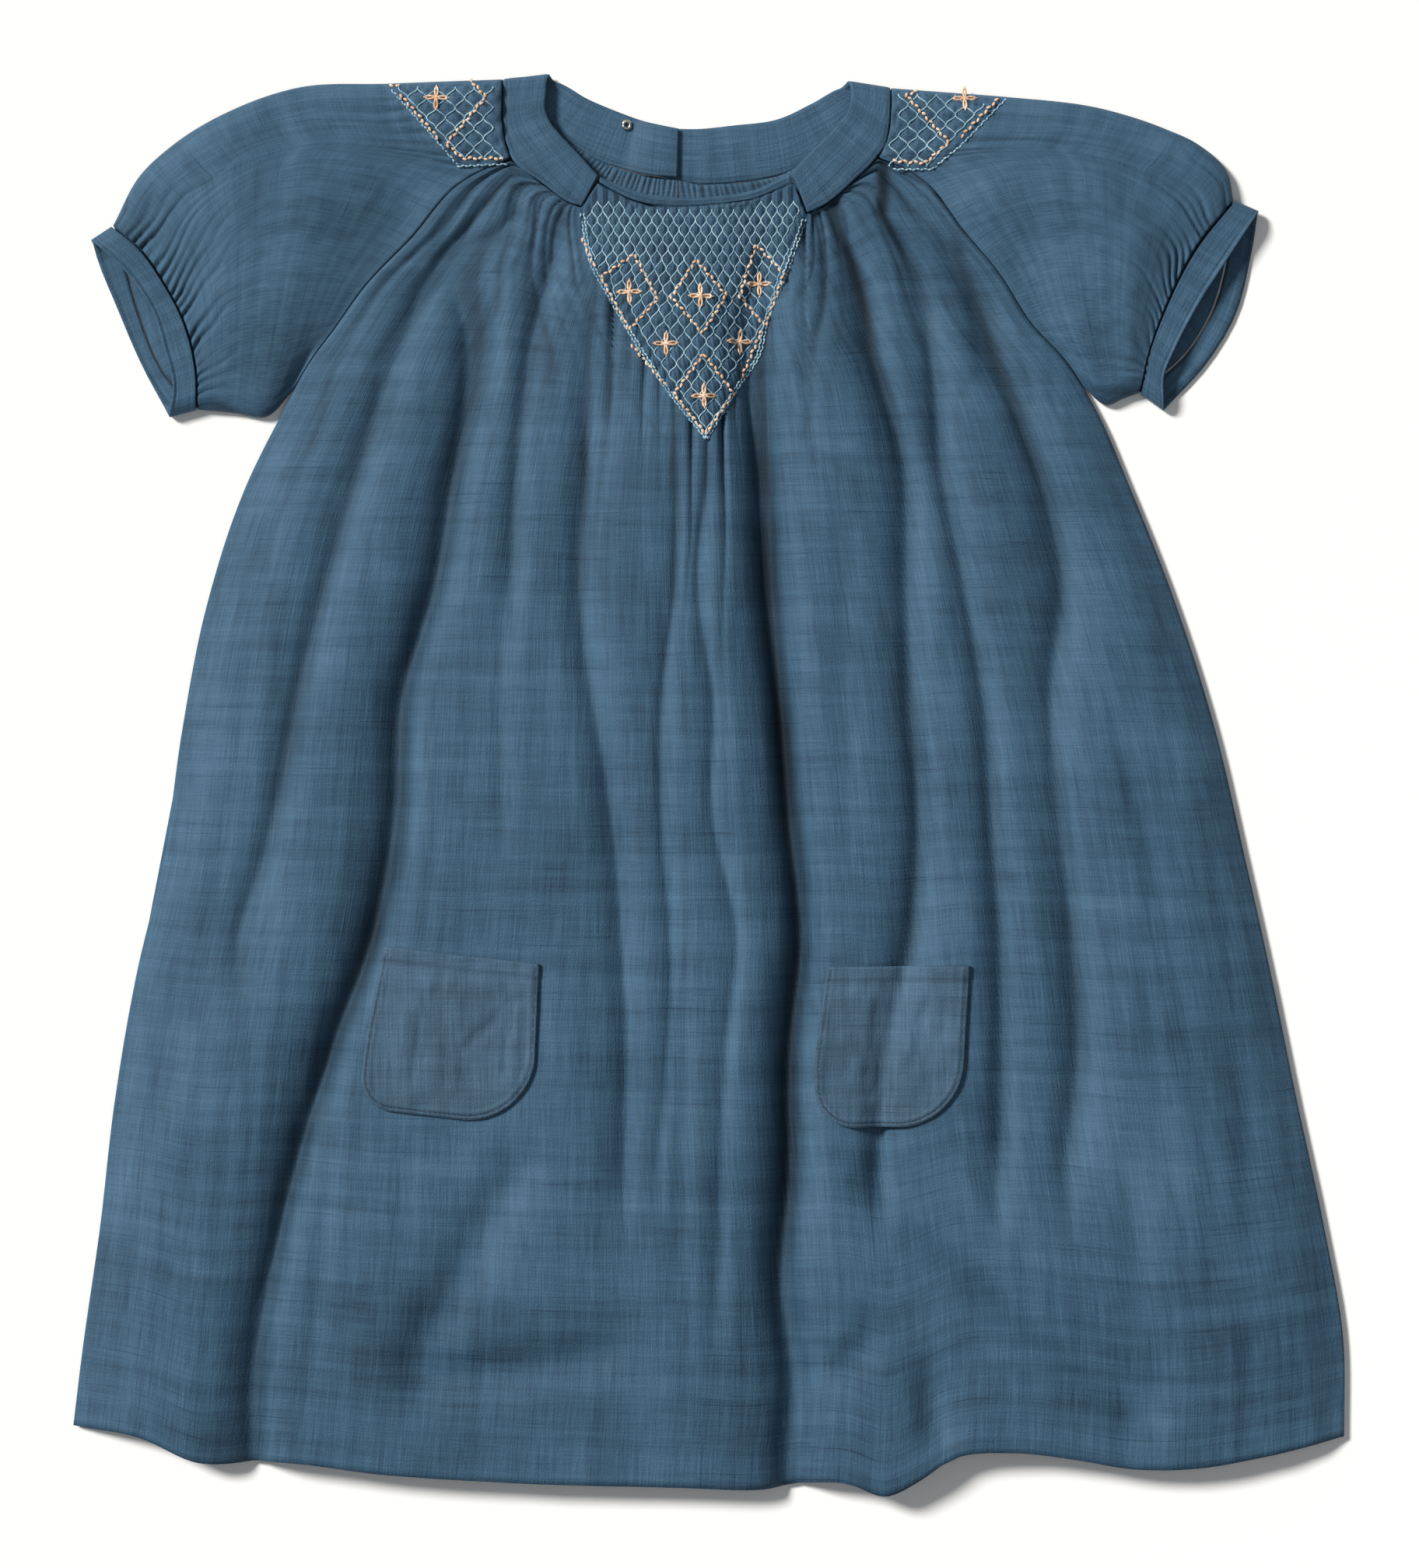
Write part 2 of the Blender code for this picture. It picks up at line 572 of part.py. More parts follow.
# Two halves that meet below the slit at centre back, with gathers along the top
def make_back(shade):
    shell = Shell()
    rows = np.array(BACK_ROWS)
    for side in ("left", "right"):
        table = back_side(side)
        path = np.vstack((along_chords(table[:3], np.linspace(0, 1, 60)),
                          along(table[2:], np.linspace(0, 1, 200))[1:]))
        edge_rows = row_of(back_y, path[:, 0], path[:, 1])
        edge_x = np.interp(rows, edge_rows, path[:, 0])
        slit_y = back_y(np.full(rows.shape, SLIT_X), rows)
        inward = -1 if side == "left" else 1
        slit_x = SLIT_X + inward * SLIT_HALF * (slit_y > SLIT_END_Y)
        fine = np.linspace(0, 1, BACK_GATHER_COLUMNS + 1)
        coarse = np.linspace(0, 1, BACK_COLUMNS + 1)
        last = None
        for k, t in enumerate(rows):
            share = fine if k < BACK_GATHER_ROWS else coarse
            x = edge_x[k] + (slit_x[k] - edge_x[k]) * share
            y = back_y(x, np.full(x.shape, t))
            fade = 1 - k / BACK_GATHER_ROWS if k < BACK_GATHER_ROWS else 0.0
            puff = BACK_GATHER_PUFF * fade * (np.arange(len(x)) % 2)
            row = shell.add(np.stack((x, y, CLOTH + puff), axis=-1))
            if last is not None:
                shell.zip_rows(last[0], row, last[1], share)
            last = (row, share)
    under = np.array(shell.points)
    under[:, 2] = 0.0
    points, faces = wall(shell, under)
    piece("back", points, faces, shade)


# Patch between four lines: start and end run from the top line to the lower line
def patch(start, end, top, lower, across, down):
    s = np.asarray(across)[:, None, None]
    u = np.asarray(down)[None, :, None]
    sides = (1 - s) * start[None] + s * end[None]
    rails = (1 - u) * top[:, None] + u * lower[:, None]
    corners = ((1 - s) * (1 - u) * start[0] + (1 - s) * u * start[-1]
               + s * (1 - u) * end[0] + s * u * end[-1])
    return sides + rails - corners


# Height of a tube's upper layer, rounded down to its folds along both edges
def tube_height(rise, off_top, off_low, top_fold, low_fold):
    top = np.sqrt(1 - (1 - np.clip(off_top / SLEEVE_ROUND, 0, 1)) ** 2)
    low = np.sqrt(1 - (1 - np.clip(off_low / SLEEVE_ROUND, 0, 1)) ** 2)
    fold = np.where(off_top < off_low, top_fold, low_fold)
    return fold + (rise - fold) * np.minimum(top, low)


# Closed rings of a flattened tube: the upper layer from the top fold to the lower fold,
# then the flat under layer back again. The inner ring keeps the wall's thickness.
def tube(name, upper, lower, high, thick, puff, shade):
    fold_top = high[:, :1]
    fold_low = high[:, -1:]
    rows = upper.shape[0]
    back = lower[:, ::-1]
    out = np.concatenate((
        np.concatenate((upper, (high + puff)[..., None]), axis=-1),
        np.concatenate((back, np.zeros(back.shape[:2] + (1,))), axis=-1)), axis=1)
    flat = np.diff(upper[:, [0, 1]], axis=1)[:, 0]
    rise = np.diff(upper[:, [-1, -2]], axis=1)[:, 0]
    inset_top = flat / np.linalg.norm(flat, axis=-1, keepdims=True) * thick
    inset_low = rise / np.linalg.norm(rise, axis=-1, keepdims=True) * thick
    core = upper.copy()
    core[:, 0] += inset_top
    core[:, -1] += inset_low
    under = high - thick
    under[:, :1] = np.maximum(fold_top, thick + LAYER_GAP)
    under[:, -1:] = np.maximum(fold_low, thick + LAYER_GAP)
    inner_back = back.copy()
    inner_back[:, 0] += inset_low * 0.4
    inner_back[:, -1] += inset_top * 0.4
    inn = np.concatenate((
        np.concatenate((core, under[..., None]), axis=-1),
        np.concatenate((inner_back, np.full(back.shape[:2] + (1,), thick)), axis=-1)), axis=1)
    shell = Shell()
    ring = shell.add(out)
    shell.grid(np.concatenate((ring, ring[:, :1]), axis=1))
    points, faces = wall(shell, inn.reshape(rows * inn.shape[1], 3))
    piece(name, points, faces, shade)


def sleeve_lines(side):
    table = SLEEVES[side]
    outward = -1 if side == "left" else 1
    raglan = raglan_points(side)
    tangent = np.gradient(raglan, axis=0)
    tangent /= np.linalg.norm(tangent, axis=1, keepdims=True)
    normal = np.stack((-tangent[:, 1], tangent[:, 0]), axis=-1) * outward
    raglan = raglan + SEAM_GAP * normal
    raglan[0] = table["band"][-1]
    middles = (raglan[:-1] + raglan[1:]) / 2
    seam = [table["top"][0], *[tuple(point) for point in table["band"][:-1]], tuple(raglan[0])]
    for middle, point in zip(middles, raglan[1:]):
        seam += [tuple(middle), tuple(point)]
    seam = np.array(seam)
    end = seam[-1]
    corner = np.array(table["back"][-1])
    lower = [corner + (end - corner) * part for part in (0.5, 0.97, 1.0)]
    return seam, np.vstack((table["top"][0], table["back"], lower))


def make_sleeve(side, shade):
    table = SLEEVES[side]
    seam, back_seam = sleeve_lines(side)
    steps = np.array(SLEEVE_STEPS)
    share = shares(seam)
    back_share = shares(back_seam)
    top = along(table["top"], steps)
    under_table = (tuple(seam[-1]),) + table["under"]
    under = along(under_table, steps)
    cuff = along(table["cuff"], share)
    upper = patch(seam, cuff, top, under, steps, share)
    cuff_back = along(table["cuff_back"], back_share)
    lower = patch(back_seam, cuff_back, top, under, steps, back_share)[:, 1:-1]

    s = steps[:, None]
    upper[..., 1] += SLEEVE_BOW * 4 * s * (1 - s) * np.sin(math.pi * share) ** 2
    seam_high = front_height(seam[:, 0], seam[:, 1])
    at_band = np.arange(len(seam)) < len(table["band"]) + 1
    seam_high = np.where(at_band, 8.2, seam_high)
    seam_high = np.maximum(seam_high, 2 * CLOTH + 1.0)
    body = 7.0 + (SLEEVE_RISE - 7.0) * np.sin(math.pi * share) ** 0.8
    blend = smoothstep(s * 2.4)
    rise = (1 - blend) * seam_high + blend * body
    rise = rise + (CUFF_RISE - rise) * smoothstep((s - 0.72) / 0.28)
    off_top = np.linalg.norm(upper - upper[:, :1], axis=-1)
    off_low = np.linalg.norm(upper - upper[:, -1:], axis=-1)
    high = tube_height(rise, off_top, off_low, SHOULDER_FOLD, FOLD_EDGE)
    even = (np.arange(len(share)) % 2).astype(float)
    even[[0, -1]] = 0.0
    puff = CUFF_GATHER * even * smoothstep((s - 0.7) / 0.2) * smoothstep((1.0 - s) / 0.04)
    for i in range(len(steps)):
        for k in range(1, len(share) - 1):
            if (i + k) % 2 == 0 and i > 0 and inside(table["smocking"], *upper[i, k]):
                puff[i, k] += SHOULDER_PUFF
    tube("sleeve_" + side, upper, lower, high, CLOTH, puff, shade)
    return share, back_share


def make_cuff(side, share, back_share, shade):
    table = SLEEVES[side]
    steps = np.array(CUFF_STEPS)
    seam = along(table["cuff"], share)
    mouth = along(table["mouth"], share)
    seam_back = along(table["cuff_back"], back_share)
    mouth_back = along(table["mouth_back"], back_share)
    s = steps[:, None, None]
    upper = (1 - s) * seam + s * mouth
    lower = ((1 - s) * seam_back + s * mouth_back)[:, 1:-1]
    off_top = np.linalg.norm(upper - upper[:, :1], axis=-1)
    off_low = np.linalg.norm(upper - upper[:, -1:], axis=-1)
    rise = np.full(off_top.shape, CUFF_RISE)
    high = tube_height(rise, off_top, off_low, SHOULDER_FOLD, FOLD_EDGE + 0.6)
    tube("cuff_" + side, upper, lower, high, DOUBLE_CLOTH, np.zeros_like(high), shade)


# A flat ribbon through rows of two edges and a height, thickened to both sides of its middle
def ribbon(name, table, thick, shade):
    inner_x, inner_y, outer_x, outer_y, z = columns(table)
    share = np.array((0.0, 0.5, 1.0))
    x = inner_x[:, None] + (outer_x - inner_x)[:, None] * share
    y = inner_y[:, None] + (outer_y - inner_y)[:, None] * share
    middle = np.stack((x, y, np.broadcast_to(z[:, None], x.shape)), axis=-1)
    run = np.gradient(middle, axis=0)
    across = np.gradient(middle, axis=1)
    normal = np.cross(run, across)
    normal /= np.linalg.norm(normal, axis=-1, keepdims=True)
    over = middle + normal * thick / 2
    under = middle - normal * thick / 2
    over[..., 2] = np.maximum(over[..., 2], 0.0)
    under[..., 2] = np.maximum(under[..., 2], 0.0)
    shell = Shell()
    shell.grid(shell.add(over))
    points, faces = wall(shell, under.reshape(-1, 3))
    piece(name, points, faces, shade)


def pocket_edge(low, top, depth, radius, down):
    straight = top + (low - top) * np.clip(down / (depth * 0.6), 0, 1)
    into = np.clip(down - (depth - radius), 0, radius)
    return straight - radius + np.sqrt(radius * radius - into * into)


# Height of the highest cloth within a short reach, read from the front's own faces
def highest(skin, x, y):
    best = 0.0
    for dx in (-POCKET_REACH, 0, POCKET_REACH):
        for dy in (-POCKET_REACH, 0, POCKET_REACH):
            hit = skin.ray_cast(Vector((x + dx, y + dy, 100.0)), Vector((0, 0, -1)))[0]
            best = max(best, hit.z)
    return best


# Lifts the pocket's underside off each point of the front that comes nearer than the gap
def lift_clear(under, faces, cloth):
    for _ in range(POCKET_LIFTS):
        floor = BVHTree.FromPolygons([tuple(point) for point in under], faces)
        for x, y, z in cloth:
            hit, _, face, _ = floor.ray_cast(Vector((x, y, -1.0)), Vector((0, 0, 1)))
            if hit is not None and hit.z < z + LAYER_GAP:
                for k in faces[face]:
                    under[k, 2] += z + LAYER_GAP - hit.z
    return under


def make_pocket(side, skin, cloth, shade):
    centre_x, centre_y, tilt, top, left_low, right_low, depth, left_round, right_round = POCKETS[side]
    turn = math.radians(tilt)
    shell = Shell()
    share = np.linspace(0, 1, POCKET_COLUMNS + 1)
    under = []
    thick = []
    for part in POCKET_DEPTHS:
        down = depth * part
        left = -pocket_edge(left_low, top, depth, left_round, down)
        right = pocket_edge(right_low, top, depth, right_round, down)
        for a in left + (right - left) * share:
            x = centre_x + a * math.cos(turn) + down * math.sin(turn)
            y = centre_y + a * math.sin(turn) - down * math.cos(turn)
            under.append((x, y, highest(skin, x, y) + LAYER_GAP))
            thick.append(CLOTH + (POCKET_HEM if part < 0.1 else 0.0))
    index = shell.add(np.array(under).reshape(len(POCKET_DEPTHS), POCKET_COLUMNS + 1, 3))
    shell.grid(index)
    under = lift_clear(np.array(under), shell.faces, cloth)
    over = under.copy()
    over[:, 2] += thick
    shell.points = list(over)
    points, faces = wall(shell, under)
    piece("pocket_" + side, points, faces, shade)


# A turned ring with a rounded upper edge, seated on the neckband
def make_stud(shade):
    base = DOUBLE_CLOTH + LAYER_GAP
    profile = ((STUD_RADIUS, 0.0), (STUD_RADIUS, 0.5), (STUD_RADIUS - 0.5, STUD_HIGH),
               (STUD_HOLE + 0.4, STUD_HIGH), (STUD_HOLE, 0.6), (STUD_HOLE, 0.0))
    angles = np.arange(STUD_SIDES) * 2 * math.pi / STUD_SIDES
    rings = [[(STUD_X + r * math.cos(a), STUD_Y + r * math.sin(a), base + z) for a in angles]
             for r, z in profile]
    points = [point for ring in rings for point in ring]
    faces = []
    for k in range(len(profile)):
        for j in range(STUD_SIDES):
            after = (j + 1) % STUD_SIDES
            low = k * STUD_SIDES
            high = (k + 1) % len(profile) * STUD_SIDES
            faces.append((low + j, low + after, high + after, high + j))
    piece("press_stud", points, faces, shade)


def make_dress():
    clear_scene()
    cloth = material("tussah silk", CLOTH_COLOUR, 0.75, 0.0)
    pocket_cloth = material("pocket silk", POCKET_COLOUR, 0.78, 0.0)
    steel = material("nickel", STUD_COLOUR, 0.35, 1.0)
    skin, front_points = make_front(cloth)
    make_back(cloth)
    for side in ("left", "right"):
        share, back_share = make_sleeve(side, cloth)
        make_cuff(side, share, back_share, cloth)
        ribbon("neckband_" + side, NECKBANDS[side], DOUBLE_CLOTH, cloth)
        make_pocket(side, skin, front_points, pocket_cloth)
    ribbon("front_binding", BINDING, BINDING_THICK, cloth)
    make_stud(steel)


make_dress()
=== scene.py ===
import math

import bpy
import numpy as np
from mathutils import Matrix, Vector


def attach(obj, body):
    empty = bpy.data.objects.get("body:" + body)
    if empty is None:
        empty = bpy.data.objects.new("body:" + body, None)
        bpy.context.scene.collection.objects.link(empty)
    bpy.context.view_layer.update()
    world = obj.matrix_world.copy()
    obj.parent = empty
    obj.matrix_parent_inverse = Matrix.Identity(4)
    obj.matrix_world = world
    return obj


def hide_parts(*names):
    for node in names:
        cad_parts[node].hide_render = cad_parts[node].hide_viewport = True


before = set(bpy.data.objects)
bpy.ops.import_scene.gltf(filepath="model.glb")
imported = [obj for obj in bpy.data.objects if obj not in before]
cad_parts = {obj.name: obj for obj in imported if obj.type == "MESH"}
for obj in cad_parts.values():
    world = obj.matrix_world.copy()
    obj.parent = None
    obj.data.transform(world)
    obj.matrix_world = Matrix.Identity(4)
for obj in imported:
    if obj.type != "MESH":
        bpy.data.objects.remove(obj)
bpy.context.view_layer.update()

mm = 0.001  # every table below is in millimetres, as the pattern was measured
pxToMm = 0.35  # one pixel of the 1824 x 2016 picture on the cloth
middlePx = (911.0, 1007.0)  # the part's origin in the picture
framePx = (912, 1008)  # the picture's own middle, under the camera
noiseCells = 97  # side of the lattice of random numbers, prime so that it never lines up


def fromPicture(px, py):
    return (px - middlePx[0]) * pxToMm, (middlePx[1] - py) * pxToMm


# Small tools for curves, noise and grids

# Cubic between neighbours of a table, with slopes taken from their differences
def curve(xs, ys, x):
    xs, ys = np.asarray(xs, float), np.asarray(ys, float)
    x = np.clip(x, xs[0], xs[-1])
    slope = np.gradient(ys, xs)
    k = np.clip(np.searchsorted(xs, x, side="right") - 1, 0, len(xs) - 2)
    wide = xs[k + 1] - xs[k]
    t = (x - xs[k]) / wide
    near = (1 + 2 * t) * (1 - t) ** 2 * ys[k] + t * (1 - t) ** 2 * wide * slope[k]
    return near + t * t * (3 - 2 * t) * ys[k + 1] - t * t * (1 - t) * wide * slope[k + 1]


def chordLength(table):
    steps = np.linalg.norm(np.diff(np.asarray(table, float), axis=0), axis=1)
    return np.concatenate(([0.0], np.cumsum(steps)))


# Points on a smooth path through a table, at fractions of its chord length
def along(table, fractions):
    table = np.asarray(table, float)
    length = chordLength(table)
    reach = np.asarray(fractions, float) * length[-1]
    return np.stack([curve(length, column, reach) for column in table.T], axis=-1)


# The same on straight chords
def alongChords(table, fractions):
    table = np.asarray(table, float)
    length = chordLength(table)
    reach = np.asarray(fractions, float) * length[-1]
    return np.stack([np.interp(reach, length, column) for column in table.T], axis=-1)


def smooth(x):
    x = np.clip(x, 0.0, 1.0)
    return x * x * (3 - 2 * x)


def tableColumns(table):
    return tuple(np.array(column, float) for column in zip(*table))


# Seeded numbers on a lattice, blended smoothly between its points: runs from -1 to 1
def waves(x, y, wide, tall, seed):
    x, y = np.broadcast_arrays(np.asarray(x, float) / wide, np.asarray(y, float) / tall)
    field = np.random.default_rng(seed).uniform(-1, 1, (noiseCells, noiseCells))
    i, j = np.floor(x).astype(int), np.floor(y).astype(int)
    fx, fy = smooth(x - i), smooth(y - j)
    i0, i1, j0, j1 = i % noiseCells, (i + 1) % noiseCells, j % noiseCells, (j + 1) % noiseCells
    low = field[i0, j0] * (1 - fx) + field[i1, j0] * fx
    high = field[i0, j1] * (1 - fx) + field[i1, j1] * fx
    return low * (1 - fy) + high * fy


# Rounded ridges with sharp valleys at whole numbers: |sin| to a power, 0 in the valley, 1 on the crest
def ridges(phase, power=0.7):
    return np.abs(np.sin(math.pi * phase)) ** power


# Least distance from points to a polyline
def lineDistance(x, y, line):
    best = np.full(np.shape(x), 1e9)
    for (ax, ay), (bx, by) in zip(line[:-1], line[1:]):
        run = (bx - ax) ** 2 + (by - ay) ** 2
        t = np.clip(((x - ax) * (bx - ax) + (y - ay) * (by - ay)) / run, 0, 1)
        best = np.minimum(best, np.hypot(x - ax - t * (bx - ax), y - ay - t * (by - ay)))
    return best


def insideOf(outline, x, y):
    hit = np.zeros(np.shape(x), bool)
    for (ax, ay), (bx, by) in zip(outline, outline[1:] + outline[:1]):
        cross = (ay > y) != (by > y)
        hit ^= cross & (x < ax + (y - ay) * (bx - ax) / (by - ay + 1e-12))
    return hit


# Least or greatest value in a square window of a grid
def spread(z, reach, pick):
    for axis in (0, 1):
        width = [(reach, reach) if k == axis else (0, 0) for k in (0, 1)]
        padded = np.pad(z, width, mode="edge")
        views = [np.take(padded, np.arange(k, k + z.shape[axis]), axis=axis) for k in range(2 * reach + 1)]
        z = pick(views, axis=0)
    return z


# Meshes and how they join the part

def gridQuads(index):
    corners = (index[:-1, :-1], index[1:, :-1], index[1:, 1:], index[:-1, 1:])
    return np.stack(corners, axis=-1).reshape(-1, 4)


# Faces of a wall: a fine outer grid, a coarser inner grid stepR by stepC, and rims between them.
# A ring's last column meets its first.
def wallFaces(rows, cols, stepR, stepC, ring):
    outer = np.arange(rows * cols).reshape(rows, cols)
    inner = rows * cols + np.arange(len(range(0, rows, stepR)) * len(range(0, cols, stepC)))
    inner = inner.reshape(len(range(0, rows, stepR)), -1)
    if ring:
        outer = np.hstack((outer, outer[:, :1]))
        inner = np.hstack((inner, inner[:, :1]))
    quads = gridQuads(outer)
    under = gridQuads(inner)[:, (0, 3, 2, 1)]

    def rim(fine, coarse, step, forward):
        pick = np.arange(len(coarse) - 1)[:, None] * step + np.arange(step + 1)
        face = fine[pick] if forward else fine[pick][:, ::-1]
        pair = (coarse[1:, None], coarse[:-1, None]) if forward else (coarse[:-1, None], coarse[1:, None])
        return np.hstack((face,) + pair)

    faces = quads.tolist() + under.tolist()
    faces += rim(outer[0], inner[0], stepC, True).tolist() + rim(outer[-1], inner[-1], stepC, False).tolist()
    if not ring:
        faces += rim(outer[:, 0], inner[:, 0], stepR, False).tolist()
        faces += rim(outer[:, -1], inner[:, -1], stepR, True).tolist()
    return faces


def makePiece(name, points, faces, material, uv=None, fields=None, nodes=(), slot=None):
    mesh = bpy.data.meshes.new(name)
    mesh.from_pydata((np.asarray(points) * mm).tolist(), [], faces)
    mesh.polygons.foreach_set("use_smooth", np.ones(len(mesh.polygons), bool))
    corners = np.empty(len(mesh.loops), int)
    mesh.loops.foreach_get("vertex_index", corners)
    if uv is not None:
        layer = mesh.uv_layers.new(name="weave")
        layer.data.foreach_set("uv", np.asarray(uv, np.float32)[corners].ravel())
    for key, values in (fields or {}).items():
        field = mesh.attributes.new(key, "FLOAT", "POINT")
        field.data.foreach_set("value", np.asarray(values, np.float32).ravel())
    mesh.materials.append(material)
    mesh.update()
    piece = bpy.data.objects.new(name, mesh)
    bpy.context.scene.collection.objects.link(piece)
    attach(piece, "root")
    if nodes:
        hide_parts(*nodes)
    return piece


# A wall from an outer grid and the point under each of its points
def makeWall(name, outer, inner, steps, ring, material, uv, fields, node, slot):
    rows, cols = outer.shape[:2]
    stepR, stepC = steps
    below = inner[::stepR, ::stepC]
    points = np.vstack((outer.reshape(-1, 3), below.reshape(-1, 3)))
    uvAll = np.vstack((uv.reshape(-1, 2), uv[::stepR, ::stepC].reshape(-1, 2)))
    both = {key: np.concatenate((v.ravel(), v[::stepR, ::stepC].ravel())) for key, v in fields.items()}
    faces = wallFaces(rows, cols, stepR, stepC, ring)
    return makePiece(name, points, faces, material, uvAll, both, (node,), slot)


# Thin tubes along many paths at once: n paths of m points, round sections square to the path
def tubes(paths, radius, sides=5, closed=False):
    paths = np.asarray(paths, float)
    n, m = paths.shape[:2]
    if closed:
        run = np.roll(paths, -1, axis=1) - np.roll(paths, 1, axis=1)
    else:
        run = np.gradient(paths, axis=1)
    run /= np.linalg.norm(run, axis=-1, keepdims=True) + 1e-12
    side = np.cross(run, np.array((0.0, 0.0, 1.0)))
    side /= np.linalg.norm(side, axis=-1, keepdims=True) + 1e-12
    up = np.cross(side, run)
    angle = np.arange(sides) * 2 * math.pi / sides
    thick = np.broadcast_to(np.asarray(radius, float), (n, m))[..., None, None]
    ring = side[:, :, None] * np.cos(angle)[:, None] + up[:, :, None] * np.sin(angle)[:, None]
    points = (paths[:, :, None] + thick * ring).reshape(-1, 3)
    index = np.arange(n * m * sides).reshape(n, m, sides)
    turned = np.roll(index, -1, axis=2)
    if closed:
        after, afterTurned = np.roll(index, -1, axis=1), np.roll(turned, -1, axis=1)
    else:
        after, afterTurned = index[:, 1:], turned[:, 1:]
        index, turned = index[:, :-1], turned[:, :-1]
    faces = np.stack((index, turned, afterTurned, after), axis=-1).reshape(-1, 4).tolist()
    if not closed:
        faces += index[:, 0, ::-1].tolist() + after[:, -1].tolist()
    return points, faces


# Small ellipsoids: each has a middle, a long direction in the plan, and three half sizes
def beads(middles, angles, size, rings=5, sides=8):
    lat = np.linspace(0, math.pi, rings + 1)[1:-1]
    lon = np.arange(sides) * 2 * math.pi / sides
    ring = np.stack((np.cos(lat)[:, None] + 0 * lon, np.sin(lat)[:, None] * np.cos(lon),
                     np.sin(lat)[:, None] * np.sin(lon)), axis=-1).reshape(-1, 3)
    unit = np.vstack(((1.0, 0, 0), ring, (-1.0, 0, 0))) * np.asarray(size)
    cos, sin = np.cos(angles)[:, None], np.sin(angles)[:, None]
    x = unit[:, 0] * cos - unit[:, 1] * sin
    y = unit[:, 0] * sin + unit[:, 1] * cos
    points = np.stack((x, y, np.broadcast_to(unit[:, 2], x.shape)), axis=-1) + np.asarray(middles)[:, None]
    one = [[0, 1 + j, 1 + (j + 1) % sides] for j in range(sides)]
    for k in range(rings - 2):
        low, high = 1 + k * sides, 1 + (k + 1) * sides
        one += [[low + j, high + j, high + (j + 1) % sides, low + (j + 1) % sides] for j in range(sides)]
    last = 1 + (rings - 2) * sides
    one += [[last + sides, last + (j + 1) % sides, last + j] for j in range(sides)]
    count = len(unit)
    faces = [[v + k * count for v in face] for k in range(len(points)) for face in one]
    return points.reshape(-1, 3), faces


def joined(parts):
    points, faces, start = [], [], 0
    for p, f in parts:
        points.append(p)
        faces += [[v + start for v in face] for face in f]
        start += len(p)
    return np.vstack(points), faces


# Materials

def hexColour(code):
    value = np.array([int(code[k:k + 2], 16) for k in (1, 3, 5)]) / 255
    line = np.where(value <= 0.04045, value / 12.92, ((value + 0.055) / 1.055) ** 2.4)
    return (*[float(v) for v in line], 1.0)


# Adds one node; number or name keys are sockets where the node has them, else settings
def addNode(tree, kind, settings=None, links=None):
    node = tree.nodes.new(kind)
    for key, value in (settings or {}).items():
        if isinstance(key, int) or (key in node.inputs and not hasattr(node, key)):
            node.inputs[key].default_value = value
        else:
            setattr(node, key, value)
    for key, source in (links or {}).items():
        tree.links.new(source, node.inputs[key])
    return node


def newMaterial(name):
    material = bpy.data.materials.new(name)
    material.use_nodes = True
    material.node_tree.nodes.clear()
    return material, material.node_tree


# Tussah silk, plain weave of unevenly reeled yarn: the eye gets darker slub streaks both ways, a faint
# plaid of thick and thin yarns, a fine crinkle along the warp and a low, dusty sheen.
# Real threads are 0.3 mm apart, under a pixel, so the weave is drawn at 0.9 mm.
silkLook = {
    # dark, middle and light are the cloth's own tones; the last colour is the near-black of the painted shade
    "dark": "#21384B", "middle": "#3A5970", "light": "#4E6F89", "paintedShade": "#020508",
    # per mm across the warp, per mm along it, detail, weight in the tone
    "layers": ((1.30, 0.050, 3.0, 0.60), (0.05, 1.40, 3.0, 0.42), (0.16, 0.006, 2.0, 0.40),
               (0.005, 0.14, 2.0, 0.45), (0.018, 0.014, 2.0, 0.55), (2.4, 2.4, 2.0, 0.50)),
    # streaks: per mm across, per mm along, threshold, how dark
    "slubs": ((0.016, 1.10, 0.63, 0.20), (1.20, 0.016, 0.64, 0.18), (0.07, 1.8, 0.70, 0.22)),
    "crinkle": (0.85, 0.045, 0.8), "weave": 0.9,
    "roughness": 0.66, "sheen": 0.05, "bump": 0.5,
}


